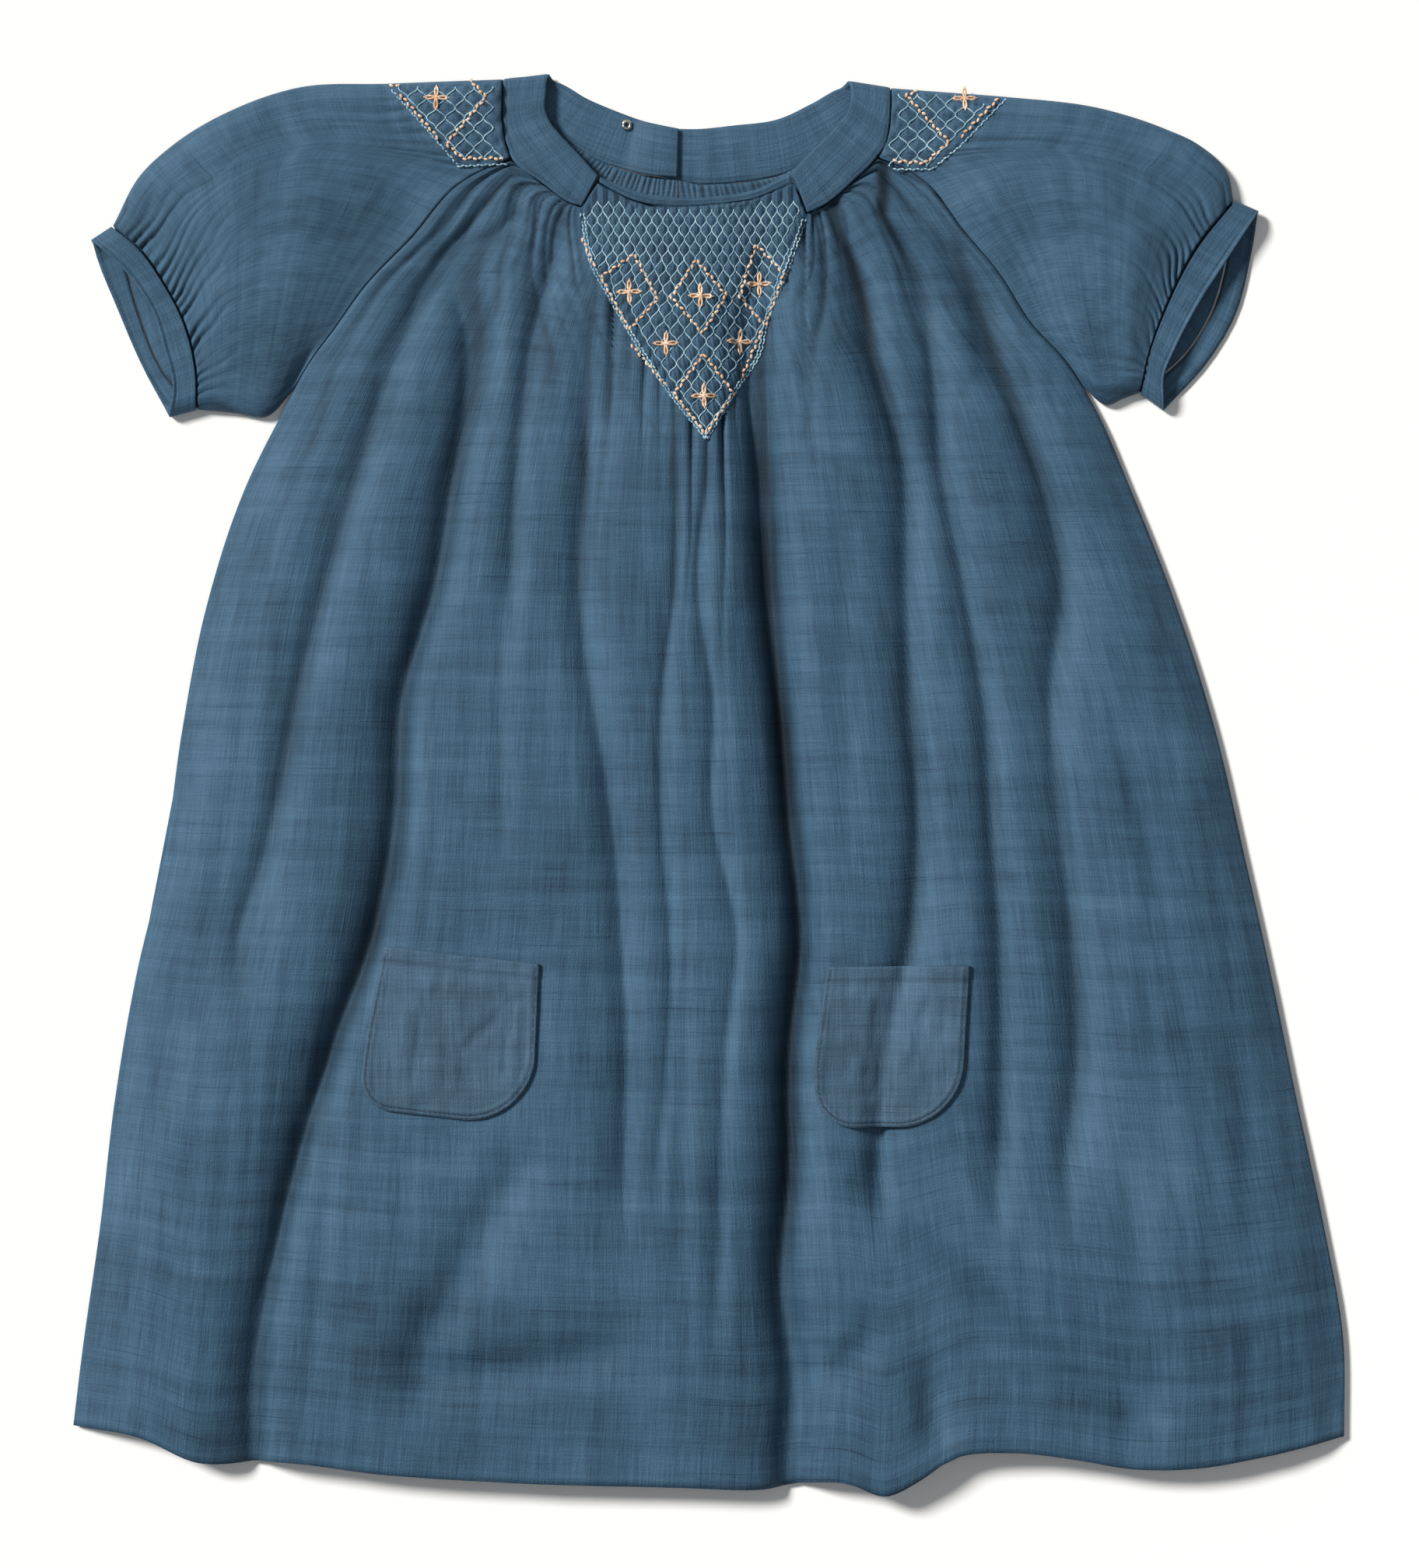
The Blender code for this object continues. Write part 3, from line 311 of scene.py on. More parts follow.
def silkMaterial(name, look):
    material, tree = newMaterial(name)
    uv = addNode(tree, "ShaderNodeUVMap", {"uv_map": "weave"}).outputs["UV"]

    def pattern(across, lengthwise, detail):
        place = addNode(tree, "ShaderNodeMapping", {"Scale": (across, lengthwise, 1.0)}, {"Vector": uv})
        return addNode(tree, "ShaderNodeTexNoise", {"Scale": 1.0, "Detail": detail, "Roughness": 0.55},
                       {"Vector": place.outputs["Vector"]}).outputs["Fac"]

    tone = None
    offset = 0.5 - 0.5 * sum(layer[3] for layer in look["layers"])
    for across, lengthwise, detail, weight in look["layers"]:
        noise = pattern(across, lengthwise, detail)
        links = {0: noise} if tone is None else {0: noise, 2: tone}
        tone = addNode(tree, "ShaderNodeMath", {"operation": "MULTIPLY_ADD", 1: weight, 2: offset},
                       links).outputs["Value"]
    for across, lengthwise, threshold, dark in look["slubs"]:
        noise = pattern(across, lengthwise, 1.5)
        streak = addNode(tree, "ShaderNodeMapRange", {"From Min": threshold, "From Max": threshold + 0.1},
                         {"Value": noise}).outputs["Result"]
        tone = addNode(tree, "ShaderNodeMath", {"operation": "MULTIPLY_ADD", 1: -dark},
                       {0: streak, 2: tone}).outputs["Value"]
    turnUp = addNode(tree, "ShaderNodeAttribute", {"attribute_name": "turnUp"}).outputs["Fac"]
    tone = addNode(tree, "ShaderNodeMath", {"operation": "MULTIPLY_ADD", 1: -0.07},
                   {0: turnUp, 2: tone}).outputs["Value"]
    ramp = addNode(tree, "ShaderNodeValToRGB", None, {"Fac": tone})
    stops = ramp.color_ramp.elements
    stops[0].position, stops[0].color = 0.12, hexColour(look["dark"])
    stops[1].position, stops[1].color = 0.88, hexColour(look["light"])
    stops.new(0.5).color = hexColour(look["middle"])
    # Painted shade: the attribute below mixes the colour towards near-black in fold bottoms, gather valleys,
    # pleat gaps and stitch grooves
    paintedShade = addNode(tree, "ShaderNodeAttribute", {"attribute_name": "paintedShade"}).outputs["Fac"]
    colour = addNode(tree, "ShaderNodeMix", {"data_type": "RGBA", 7: hexColour(look["paintedShade"])},
                     {0: paintedShade, 6: ramp.outputs["Color"]}).outputs[2]
    across, lengthwise, share = look["crinkle"]
    crinkle = pattern(across, lengthwise, 2.0)
    grain = pattern(1 / look["weave"], 1 / look["weave"], 3.0)
    height = addNode(tree, "ShaderNodeMath", {"operation": "MULTIPLY_ADD", 1: share},
                     {0: crinkle, 2: grain}).outputs["Value"]
    height = addNode(tree, "ShaderNodeMath", {"operation": "MULTIPLY_ADD", 1: 0.6},
                     {0: tone, 2: height}).outputs["Value"]
    bump = addNode(tree, "ShaderNodeBump", {"Strength": look["bump"], "Distance": 0.0006},
                   {"Height": height}).outputs["Normal"]
    shader = addNode(tree, "ShaderNodeBsdfPrincipled", {
        "Roughness": look["roughness"], "Sheen Weight": look["sheen"], "Sheen Roughness": 0.35,
        "Sheen Tint": hexColour("#9FB6C8"), "Specular IOR Level": 0.22,
    }, {"Base Color": colour, "Normal": bump})
    addNode(tree, "ShaderNodeOutputMaterial", None, {"Surface": shader.outputs["BSDF"]})
    return material


# Stranded cotton, mercerised and laid in short stitches: soft lustre, small shadow lines between strands
def threadMaterial(name, code, darker):
    material, tree = newMaterial(name)
    place = addNode(tree, "ShaderNodeTexCoord").outputs["Object"]
    strands = addNode(tree, "ShaderNodeTexNoise", {"Scale": 1400.0, "Detail": 3.0}, {"Vector": place})
    patches = addNode(tree, "ShaderNodeTexNoise", {"Scale": 160.0, "Detail": 2.0}, {"Vector": place})
    mixed = addNode(tree, "ShaderNodeMath", {"operation": "MULTIPLY_ADD", 1: 0.9},
                    {0: strands.outputs["Fac"], 2: patches.outputs["Fac"]}).outputs["Value"]
    fac = addNode(tree, "ShaderNodeMapRange", {"From Min": 0.75, "From Max": 1.15}, {"Value": mixed})
    colour = addNode(tree, "ShaderNodeMix", {"data_type": "RGBA", 6: hexColour(darker), 7: hexColour(code)},
                     {0: fac.outputs["Result"]}).outputs[2]
    bump = addNode(tree, "ShaderNodeBump", {"Strength": 0.5, "Distance": 0.0002},
                   {"Height": strands.outputs["Fac"]}).outputs["Normal"]
    shader = addNode(tree, "ShaderNodeBsdfPrincipled", {
        "Roughness": 0.55, "Sheen Weight": 0.15, "Specular IOR Level": 0.4,
    }, {"Base Color": colour, "Normal": bump})
    addNode(tree, "ShaderNodeOutputMaterial", None, {"Surface": shader.outputs["BSDF"]})
    return material


# Nickel-plated brass, stamped: dull bright metal with fine wear
def metalMaterial(name):
    material, tree = newMaterial(name)
    place = addNode(tree, "ShaderNodeTexCoord").outputs["Object"]
    wear = addNode(tree, "ShaderNodeTexNoise", {"Scale": 900.0, "Detail": 3.0}, {"Vector": place})
    ends = {"data_type": "RGBA", 6: hexColour("#8E8C86"), 7: hexColour("#D8D6CE")}
    colour = addNode(tree, "ShaderNodeMix", ends, {0: wear.outputs["Fac"]}).outputs[2]
    rough = addNode(tree, "ShaderNodeMapRange", {"To Min": 0.25, "To Max": 0.5},
                    {"Value": wear.outputs["Fac"]}).outputs["Result"]
    shader = addNode(tree, "ShaderNodeBsdfPrincipled", {"Metallic": 1.0},
                     {"Base Color": colour, "Roughness": rough})
    addNode(tree, "ShaderNodeOutputMaterial", None, {"Surface": shader.outputs["BSDF"]})
    return material


dressSilk = silkMaterial("tussah silk, plain weave", silkLook)
bandSilk = silkMaterial("tussah silk, doubled and pressed", {**silkLook, "bump": 0.45})
# The pockets' silk is a little lighter and greyer than the dress's
pocketSilk = silkMaterial("tussah silk, greyer", {**silkLook, "dark": "#273C4E", "middle": "#405A6F",
                                                  "light": "#53708A"})
paleThread = threadMaterial("stranded cotton, pale blue", "#B4D2DE", "#6F97AC")
peachThread = threadMaterial("stranded cotton, peach", "#F6D6B8", "#CFA27E")
plate = metalMaterial("nickel-plated brass")
print("materials made")

# Front

frontForm = {
    "neckTop": 281.0, "hemLevel": -306.0, "drop": 587.0, "cloth": 1.2, "low": 2.7,
    "flat": (573.0, 600.0), "hemDeep": 83.5,
    "neckEdge": (
        (-89.0, 280.0), (-74.5, 269.0), (-63.5, 261.0), (-57.5, 259.0), (-50.0, 270.0), (-42.5, 266.0),
        (-35.5, 262.5), (-26.5, 259.5), (-13.5, 259.5), (3.0, 260.5), (20.5, 263.0), (38.0, 270.5),
        (44.0, 256.0), (52.0, 259.5), (66.0, 271.0), (76.0, 281.0)),
    "hemEdge": (
        (-286.5, -289.5), (-256.0, -294.0), (-228.0, -305.5), (-214.0, -306.0), (-200.0, -305.0),
        (-144.0, -310.5), (-88.0, -314.0), (-4.0, -316.5), (24.0, -317.5), (62.5, -314.5), (80.0, -320.0),
        (94.0, -313.5), (108.0, -304.0), (136.0, -300.5), (164.0, -303.5), (192.0, -308.0),
        (220.0, -307.5), (248.0, -303.0), (286.5, -294.5)),
    "sideLeft": (
        (-89.0, 280.0), (-100.0, 276.5), (-111.0, 270.5), (-133.5, 245.5), (-155.0, 223.0), (-168.5, 204.5),
        (-180.5, 188.5), (-192.0, 167.5), (-208.0, 135.5), (-226.5, 79.5), (-237.5, 23.5), (-245.5, -32.5),
        (-258.5, -88.5), (-268.0, -144.5), (-274.5, -200.5), (-282.5, -256.5), (-286.5, -289.5)),
    "sideRight": (
        (76.0, 281.0), (87.0, 277.0), (98.5, 269.5), (112.5, 251.0), (131.5, 228.0), (145.0, 207.0),
        (161.0, 190.0), (174.5, 168.5), (189.0, 135.5), (211.0, 79.5), (228.5, 23.5), (241.5, -32.5),
        (254.0, -88.5), (265.5, -144.5), (277.5, -200.5), (286.0, -250.0), (286.5, -294.5)),
    "vLeft": ((-57.5, 259.0), (-52.0, 232.0), (-45.0, 219.5), (-36.0, 203.5), (-19.5, 178.0), (-1.0, 154.7)),
    "vRight": ((44.0, 256.0), (34.5, 229.0), (26.0, 208.0), (23.0, 194.0), (12.5, 177.5), (-1.0, 154.7)),
    "rise": ((-320.0, 12.0), (-240.0, 15.0), (-173.0, 16.5), (-68.0, 17.0), (37.0, 16.5), (90.0, 15.5),
             (142.0, 13.5), (195.0, 10.0), (240.0, 6.5), (281.0, 5.0)),
    "edgeSlope": 24.0,
    "stations": (256, 237, 195, 142, 90, 37, -15, -68, -120, -173, -225, -271, -295),
    "folds": (
        # depth, left reach, right reach, x at the stations
        (6.5, 11.0, 8.0, (-104, -118, -139, -157, -172, -185, -195, -211, None, None, None, None, None)),
        (12.5, 13.0, 7.0, (-88, -104, -103, -114, -123, -138, -141, -151, -170, -186, -198, -205, -205)),
        (5.5, 8.0, 6.0, (-66, -70, -80, -86, -88, None, None, None, None, None, None, None, None)),
        (6.5, 10.0, 6.0, (None, None, -55, -55, -58, -52, -43, -39, -36, -37, None, None, None)),
        (2.8, 5.0, 4.0, (None, None, None, -15, -15, -21, -21, -17, -18, -23, None, None, None)),
        (3.2, 6.0, 4.0, (None, None, None, 0, -5, 2, 2, 13, 8, 6, 5, None, None)),
        (17.0, 11.0, 8.0, (None, 24, 22, 25, 27, 32, 36, 41, 36, 36, 33, 39, 38)),
        (9.5, 10.0, 8.0, (56, 64, 73, 88, 89, 91, 94, 91, 80, 76, None, None, None)),
        (8.0, 9.0, 7.0, (78, 90, 100, 105, 115, 124, 127, 131, 132, 131, None, None, None)),
        (8.5, 12.0, 8.0, (None, 113, 127, 148, 159, 154, 158, 163, 166, 161, None, None, None))),
    # gloom in the bottom of each fold: half its width, then how deep at the stations
    "gloom": (
        (4.5, (.1, .2, .2, .45, .4, .45, .35, .2, 0, 0, 0, 0, 0)),
        (6.5, (.3, .3, .5, .7, .6, .55, .65, .8, .6, .5, .45, .45, .4)),
        (3.0, (.4, .3, .3, .3, .1, 0, 0, 0, 0, 0, 0, 0, 0)),
        (2.2, (0, 0, .5, .75, .35, .25, .15, .1, 0, 0, 0, 0, 0)),
        (2.2, (0, 0, 0, .6, .35, .2, .1, 0, 0, 0, 0, 0, 0)),
        (2.2, (0, 0, 0, .3, .2, .1, 0, 0, 0, 0, 0, 0, 0)),
        (5.6, (0, 0, .5, .85, .97, .98, .97, .7, .85, .85, .4, .15, .1)),
        (3.6, (.75, .9, .85, .35, .35, .4, .4, .45, .2, .1, 0, 0, 0)),
        (3.4, (.9, .5, .25, .3, .2, .25, .35, .3, .3, .1, 0, 0, 0)),
        (4.2, (0, .5, .8, .6, .35, .25, .35, .3, .35, .2, 0, 0, 0))),
    "hemFolds": (
        # depth, reach, x0, y0, x1, y1
        (7.0, 13.0, 74.0, -172.0, 203.0, -288.0), (5.0, 12.0, -81.0, -165.0, -138.0, -270.0),
        (5.0, 10.0, -137.0, -271.0, -39.0, -255.0), (6.0, 8.0, 60.0, -262.0, 73.0, -248.0),
        (6.0, 9.0, 100.0, -262.0, 104.0, -300.0)),
    # softer creases that cloth alone shows: depth, reach, x0, y0, x1, y1
    "creases": (
        (1.6, 6.0, -168.0, -103.0, -178.0, -270.0), (1.2, 5.0, 181.0, 37.0, 207.0, -68.0),
        (1.5, 7.0, 187.0, -170.0, 204.0, -300.0), (1.2, 6.0, -235.0, -60.0, -262.0, -250.0),
        (1.0, 5.0, -96.0, 100.0, -92.0, -40.0), (1.2, 6.0, 60.0, 120.0, 62.0, -40.0),
        (1.4, 5.0, -10.0, -60.0, -14.0, -230.0), (1.1, 5.0, 108.0, -150.0, 152.0, -230.0),
        (1.3, 6.0, 225.0, -10.0, 246.0, -190.0), (1.0, 6.0, -205.0, 60.0, -232.0, -120.0)),
    "columns": (80, 160, 80), "rowsInV": 140, "rowsBelow": 132,
}


# A row is level between the neck's line, which fades over the first quarter, and the hem's
def frontY(x, t):
    neckX, neckY = tableColumns(frontForm["neckEdge"])
    hemX, hemY = tableColumns(frontForm["hemEdge"])
    neck = (np.interp(x, neckX, neckY) - frontForm["neckTop"]) * np.clip(1 - 4 * t, 0, 1) ** 2
    hem = (curve(hemX, hemY, x) - frontForm["hemLevel"]) * t ** 3
    return frontForm["neckTop"] + (frontForm["hemLevel"] - frontForm["neckTop"]) * t + neck + hem


def rowOf(levelY, x, y):
    low, high = np.zeros(np.shape(x)), np.ones(np.shape(x))
    for _ in range(24):
        middle = (low + high) / 2
        above = levelY(x, middle) > y
        low, high = np.where(above, middle, low), np.where(above, high, middle)
    return (low + high) / 2


def edgeOf(table, levelY, smoothly=True):
    path = (along if smoothly else alongChords)(table, np.linspace(0, 1, 400))
    rows = rowOf(levelY, path[:, 0], path[:, 1])
    return lambda t: np.interp(t, rows, path[:, 0])


# Bottom of a fold is a soft point that falls off over its reach on each side
def trough(offset, left, right):
    q = np.where(offset < 0, -offset / left, offset / right)
    return np.exp(-1.3 * (np.sqrt(q * q + 0.04) - 0.2))


def slanting(x, y, depth, reach, x0, y0, x1, y1, soft):
    run = math.hypot(x1 - x0, y1 - y0)
    part = ((x - x0) * (x1 - x0) + (y - y0) * (y1 - y0)) / run
    across = ((x - x0) * (y1 - y0) - (y - y0) * (x1 - x0)) / run
    ends = smooth((part + soft) / (2.5 * soft)) * smooth((run + soft - part) / (2.5 * soft))
    return depth * ends * np.exp(-(across / reach) ** 2)


# Rise of the cloth less its folds, kept above the back
def frontHeight(x, y):
    x, y = np.broadcast_arrays(np.asarray(x, float), np.asarray(y, float))
    riseY, rise = tableColumns(frontForm["rise"])
    leftX, leftY = tableColumns(frontForm["sideLeft"][::-1])
    rightX, rightY = tableColumns(frontForm["sideRight"][::-1])
    off = np.minimum(x - np.interp(y, leftY, leftX), np.interp(y, rightY, rightX) - x)
    edge = 1 - np.exp(-np.clip(off, 0, None) / frontForm["edgeSlope"])
    lift = smooth((y - 165.0) / 90.0)
    high = curve(riseY, rise, y) * (edge + (1 - edge) * lift)
    for depth, left, right, places in frontForm["folds"]:
        known = sorted((s, p) for s, p in zip(frontForm["stations"], places) if p is not None)
        ys, xs = tableColumns(known)
        strength = smooth((ys[-1] + 20 - y) / 60)
        if ys[0] > frontForm["stations"][-1]:
            strength = strength * smooth((y - ys[0] + 45) / 60)
        high = high - depth * strength * trough(x - curve(ys, xs, y), left, right)
    for fold in frontForm["hemFolds"]:
        high = high - slanting(x, y, *fold, 10.0)
    return frontForm["low"] + 0.5 * (high + np.sqrt(high * high + 1.0)) - 0.1


# How little light reaches the bottoms of the deep folds, from 0 to 1
def foldGloom(x, y):
    gloom = np.zeros(np.shape(x))
    stations = np.array(frontForm["stations"][::-1], float)
    for (_, _, _, places), (half, levels) in zip(frontForm["folds"], frontForm["gloom"]):
        known = sorted((s, p) for s, p in zip(frontForm["stations"], places) if p is not None)
        ys, xs = tableColumns(known)
        level = np.interp(y, stations, levels[::-1]) * (0.85 + 0.15 * waves(x * 0, y, 1.0, 24.0, 15))
        off = (x - curve(ys, xs, y) - 0.8 * waves(x * 0, y, 1.0, 30.0, 16)) / half
        gloom = np.maximum(gloom, level * np.exp(-np.abs(off) ** 2.6))
    return gloom


# A number of its own for each valley of a row of ridges
def valleyChance(phase, seed):
    chances = np.random.default_rng(seed).uniform(0, 1, noiseCells)
    return chances[np.round(phase).astype(int) % noiseCells]


# Smocking: stitched diamonds, wider towards the tip
smocking = {
    "middle": -1.0, "top": 262.0, "low": 150.0,
    "wideTop": 4.9, "wideLow": 6.7, "tallTop": 8.75, "tallLow": 9.9,
    "puff": 1.1, "pleat": 0.5, "pleats": 3, "strand": 0.26,
}


def latticeSize(y):
    part = smooth((243.0 - y) / 50.0)
    wide = smocking["wideTop"] + (smocking["wideLow"] - smocking["wideTop"]) * part
    tall = smocking["tallTop"] + (smocking["tallLow"] - smocking["tallTop"]) * part
    return wide / 2, tall / 2


levelsY = np.linspace(smocking["top"], smocking["low"], 400)
levelsB = np.concatenate(([0.0], np.cumsum(-np.diff(levelsY) / latticeSize(levelsY[1:])[1])))


# Plan place to lattice numbers and back: knots stand where both are whole and their sum is even
def toLattice(x, y):
    return (x - smocking["middle"]) / latticeSize(y)[0], np.interp(-y, -levelsY, levelsB)


def fromLattice(a, b):
    y = np.interp(b, levelsB, levelsY)
    return smocking["middle"] + a * latticeSize(y)[0], y


# Pillows between the threads with curved pleats on them, and the painted shade in the gaps between the pleats
def diamonds(a, b, puff, pleat):
    u, v = (a + b) / 2, (a - b) / 2
    pillow = (np.abs(np.sin(math.pi * u)) * np.abs(np.sin(math.pi * v))) ** 0.6
    bent = a + 0.22 * np.sin(math.pi * b) * np.cos(math.pi * a)
    fold = ridges(bent * smocking["pleats"] / 2 + 0.25, 0.55)
    return puff * pillow + pleat * fold * (0.35 + 0.65 * pillow), (1 - fold) * (0.55 + 0.45 * pillow)


vLeftAt = edgeOf(frontForm["vLeft"], frontY)
vRightAt = edgeOf(frontForm["vRight"], frontY)
sideLeftAt = edgeOf(frontForm["sideLeft"], frontY)
sideRightAt = edgeOf(frontForm["sideRight"], frontY)
tipRow = float(rowOf(frontY, np.array([-1.0]), np.array([154.7]))[0])

# Gathers run from the bands between the V and the raglans, pleats let out from the V's lower edge
gathers = {
    "fine": 13.0, "fineHigh": 1.1, "fineFade": 34.0,
    "broad": 5.3, "broadHigh": 2.0, "broadFade": 95.0,
    "release": 6.9, "releaseHigh": 2.6, "releaseFade": 30.0, "longHigh": 2.2, "longFade": 80.0,
}


# Height over the plain front of its folds (both faces) and of its fine relief (outside), and how
# dark the painted shade is in the hollows between folds, gathers and pleats
def frontRelief(x, y, t):
    vl, vr = vLeftAt(t), vRightAt(t)
    inV = np.where(t < tipRow, np.minimum(x - vl, vr - x), -5.0)
    vMask = smooth((inV + 0.3) / 1.4)
    down = t * frontForm["drop"]
    sl, sr = sideLeftAt(t), sideRightAt(t)
    q = np.where(x < (vl + vr) / 2, (vl - x) / (vl - sl), -(x - vr) / (sr - vr))
    fan = smooth(np.abs(q) * 12) * (q != 0)
    wander = 0.9 * waves(q * 4, down, 1.0, 75.0, 3) + 0.4 * waves(q * 11, down, 1.0, 30.0, 4)
    finePhase = q * gathers["fine"] + wander
    broadPhase = q * gathers["broad"] + 0.3 + 0.7 * wander
    fineOwn = 0.25 + 1.1 * valleyChance(finePhase, 8)
    broadOwn = 0.2 + 1.1 * valleyChance(broadPhase, 9)
    fine, broad = ridges(finePhase, 0.75), ridges(broadPhase, 0.85)
    fineFade = np.exp(-down / (gathers["fineFade"] * (0.5 + fineOwn)))
    broadFade = np.exp(-down / (gathers["broadFade"] * (0.4 + 0.8 * broadOwn)))
    folds = -gathers["fineHigh"] * fineFade * (1 - fine) * fineOwn
    folds = folds - gathers["broadHigh"] * broadFade * (1 - broad) * broadOwn
    folds = folds * fan * (1 - vMask)
    # Painted shade in the valleys of the fine and broad gathers
    paintedShade = (1 - fine) ** 2.2 * fineFade * fineOwn + (1 - broad) ** 3.0 * broadFade * broadOwn * 0.6
    paintedShade = paintedShade * fan * (1 - vMask) * 0.9

    lowX, lowY = tableColumns(frontForm["vLeft"] + frontForm["vRight"][-2::-1])
    below = np.interp(x, lowX, lowY, left=1e3, right=1e3) - y
    past = np.clip(below, 0, None)
    under = smooth((below + 1.0) / 3.0) * (below < 900)
    lean = (x + 1.0) / (1 + 0.0016 * past)
    phase = lean / gathers["release"] + 0.35 * waves(x, y, 15.0, 60.0, 5)
    strong = valleyChance(phase, 12) ** 1.5
    pleat = ridges(phase, 0.7)
    fade = np.exp(-past / (gathers["releaseFade"] * (0.4 + strong)))
    length = np.exp(-past / (gathers["longFade"] * (0.2 + strong))) * strong
    folds = folds - under * (1 - vMask) * (1 - pleat) * (
        gathers["releaseHigh"] * fade * (0.4 + 0.6 * strong) + gathers["longHigh"] * length)
    # Painted shade in the valleys of the pleats let out below the V, then the painted shade in the deep folds
    paintedShade = paintedShade + (1 - pleat) ** 2.6 * under * (1 - vMask) * (0.75 * fade + 0.6 * length)
    paintedShade = np.maximum(paintedShade, foldGloom(x, y) * (1 - vMask))

    cloth = 0.55 * waves(x, y, 21.0, 90.0, 21) + 0.35 * waves(x, y, 9.0, 60.0, 22)
    cloth = cloth + 0.45 * waves(x + 0.35 * y, y, 34.0, 38.0, 23)
    cloth = cloth + 0.16 * waves(x, y, 4.2, 34.0, 24)
    for crease in frontForm["creases"]:
        cloth = cloth - slanting(x, y, *crease, 26.0)
    folds = folds + cloth * (1 - vMask) * smooth(down / 45.0)
    a, b = toLattice(x, y)
    raised, gaps = diamonds(a, b, smocking["puff"], smocking["pleat"])
    return folds, raised * vMask, np.clip(paintedShade + gaps * vMask * 0.75, 0, 1)


def frontSkin(x, y):
    t = rowOf(frontY, x, y)
    folds, raised, _ = frontRelief(x, y, t)
    return np.maximum(frontHeight(x, y) + folds, frontForm["low"]) + raised


def makeFront():
    rowsT = np.concatenate((np.linspace(0, tipRow + 0.012, frontForm["rowsInV"], endpoint=False),
                            np.linspace(tipRow + 0.012, 1, frontForm["rowsBelow"] + 1)))
    t = rowsT[:, None]
    reach = 30.0 + 260.0 * np.clip(t - tipRow, 0, None)
    ease = smooth(t / 0.03)
    vl, vr = vLeftAt(t), vRightAt(t)
    innerLeft = np.minimum(vl - ease, np.where(t > 0.02, -1 - reach, vl))
    innerRight = np.maximum(vr + ease, np.where(t > 0.02, -1 + reach, vr))
    sl, sr = sideLeftAt(t), sideRightAt(t)
    power = 1 - 0.32 * smooth(t / 0.012) * (1 - np.clip(t / 0.19, 0, 1))
    left, middle, right = frontForm["columns"]
    shareL = np.linspace(0, 1, left, endpoint=False)[None] ** power
    shareR = np.linspace(0, 1, right + 1)[None, 1:]
    shareR = 1 - (1 - shareR) ** power
    shareM = np.linspace(0, 1, middle + 1)[None]
    x = np.hstack((sl + (innerLeft - sl) * shareL, innerLeft + (innerRight - innerLeft) * shareM,
                   innerRight + (sr - innerRight) * shareR))
    tt = np.broadcast_to(t, x.shape)
    y = frontY(x, tt)
    folds, raised, paintedShade = frontRelief(x, y, tt)
    down = tt * frontForm["drop"]
    above = (1 - tt) * frontForm["drop"]
    rim = smooth(np.minimum(x - sl, sr - x) / 6.0) * smooth(down / 1.5) * smooth(above / 3.0 + 0.6)
    plain = np.maximum(frontHeight(x, y) + folds * rim, frontForm["low"])
    outer = np.stack((x, y, plain + raised * rim), axis=-1)
    under = np.minimum(spread(plain, 4, np.min) - 0.9, plain - frontForm["cloth"])
    inner = np.stack((x, y, np.maximum(under, frontForm["low"] - frontForm["cloth"])), axis=-1)
    hemX, hemY = tableColumns(frontForm["hemEdge"])
    lift = y - curve(hemX, hemY, x)
    past = lift - frontForm["hemDeep"]
    turnUp = smooth((0.5 - past) / 2.0) + 1.6 * np.exp(-(past / 0.9) ** 2)
    wide, tall = frontForm["flat"]
    uv = np.stack(((x - sl) / (sr - sl) * wide, -tt * tall), axis=-1)
    # The painted shade of fold bottoms and gather valleys goes to the material as an attribute
    fields = {"paintedShade": paintedShade, "turnUp": turnUp}
    return makeWall("frontCloth", outer, inner, (4, 4), False, dressSilk, uv, fields, "front", "dress_silk")


frontCloth = makeFront()
print("front made")

# Back, seen inside the neck and under the hem

backForm = {
    "topLevel": 302.0, "hemInset": 2.0, "sideInset": 0.8, "slitX": -13.8, "slitEnd": 190.0,
    "neck": ((-78.0, 301.4), (-65.0, 290.4), (-45.5, 278.9), (-30.0, 274.4), (-14.0, 272.4), (-4.5, 270.0),
             (14.5, 270.9), (31.5, 273.9), (57.0, 286.3), (68.0, 295.8)),
    "peep": ((200.0, 0.0), (215.0, 3.6), (245.0, 3.6), (262.0, 0.0)),
    "corner": {"left": (-135.0, 235.0), "right": (122.0, 235.0)},
    "underarm": {"left": (-186.5, 178.0), "right": (167.5, 178.0)},
    "columns": 150, "rowsTop": 56, "rowsBelow": 41, "steps": (8, 10), "gather": 2.1, "drop": 608.0,
}


def backY(x, t):
    neckX, neckY = tableColumns(backForm["neck"])
    hemX, hemY = tableColumns(frontForm["hemEdge"])
    peepX, peep = tableColumns(backForm["peep"])
    top, low = backForm["topLevel"], frontForm["hemLevel"]
    neck = (np.interp(x, neckX, neckY) - top) * np.clip(1 - 3 * t, 0, 1) ** 2
    hemLine = curve(hemX, hemY, x) + backForm["hemInset"] - np.interp(x, peepX, peep)
    return top + (low - top) * t + neck + (hemLine - low) * t ** 3


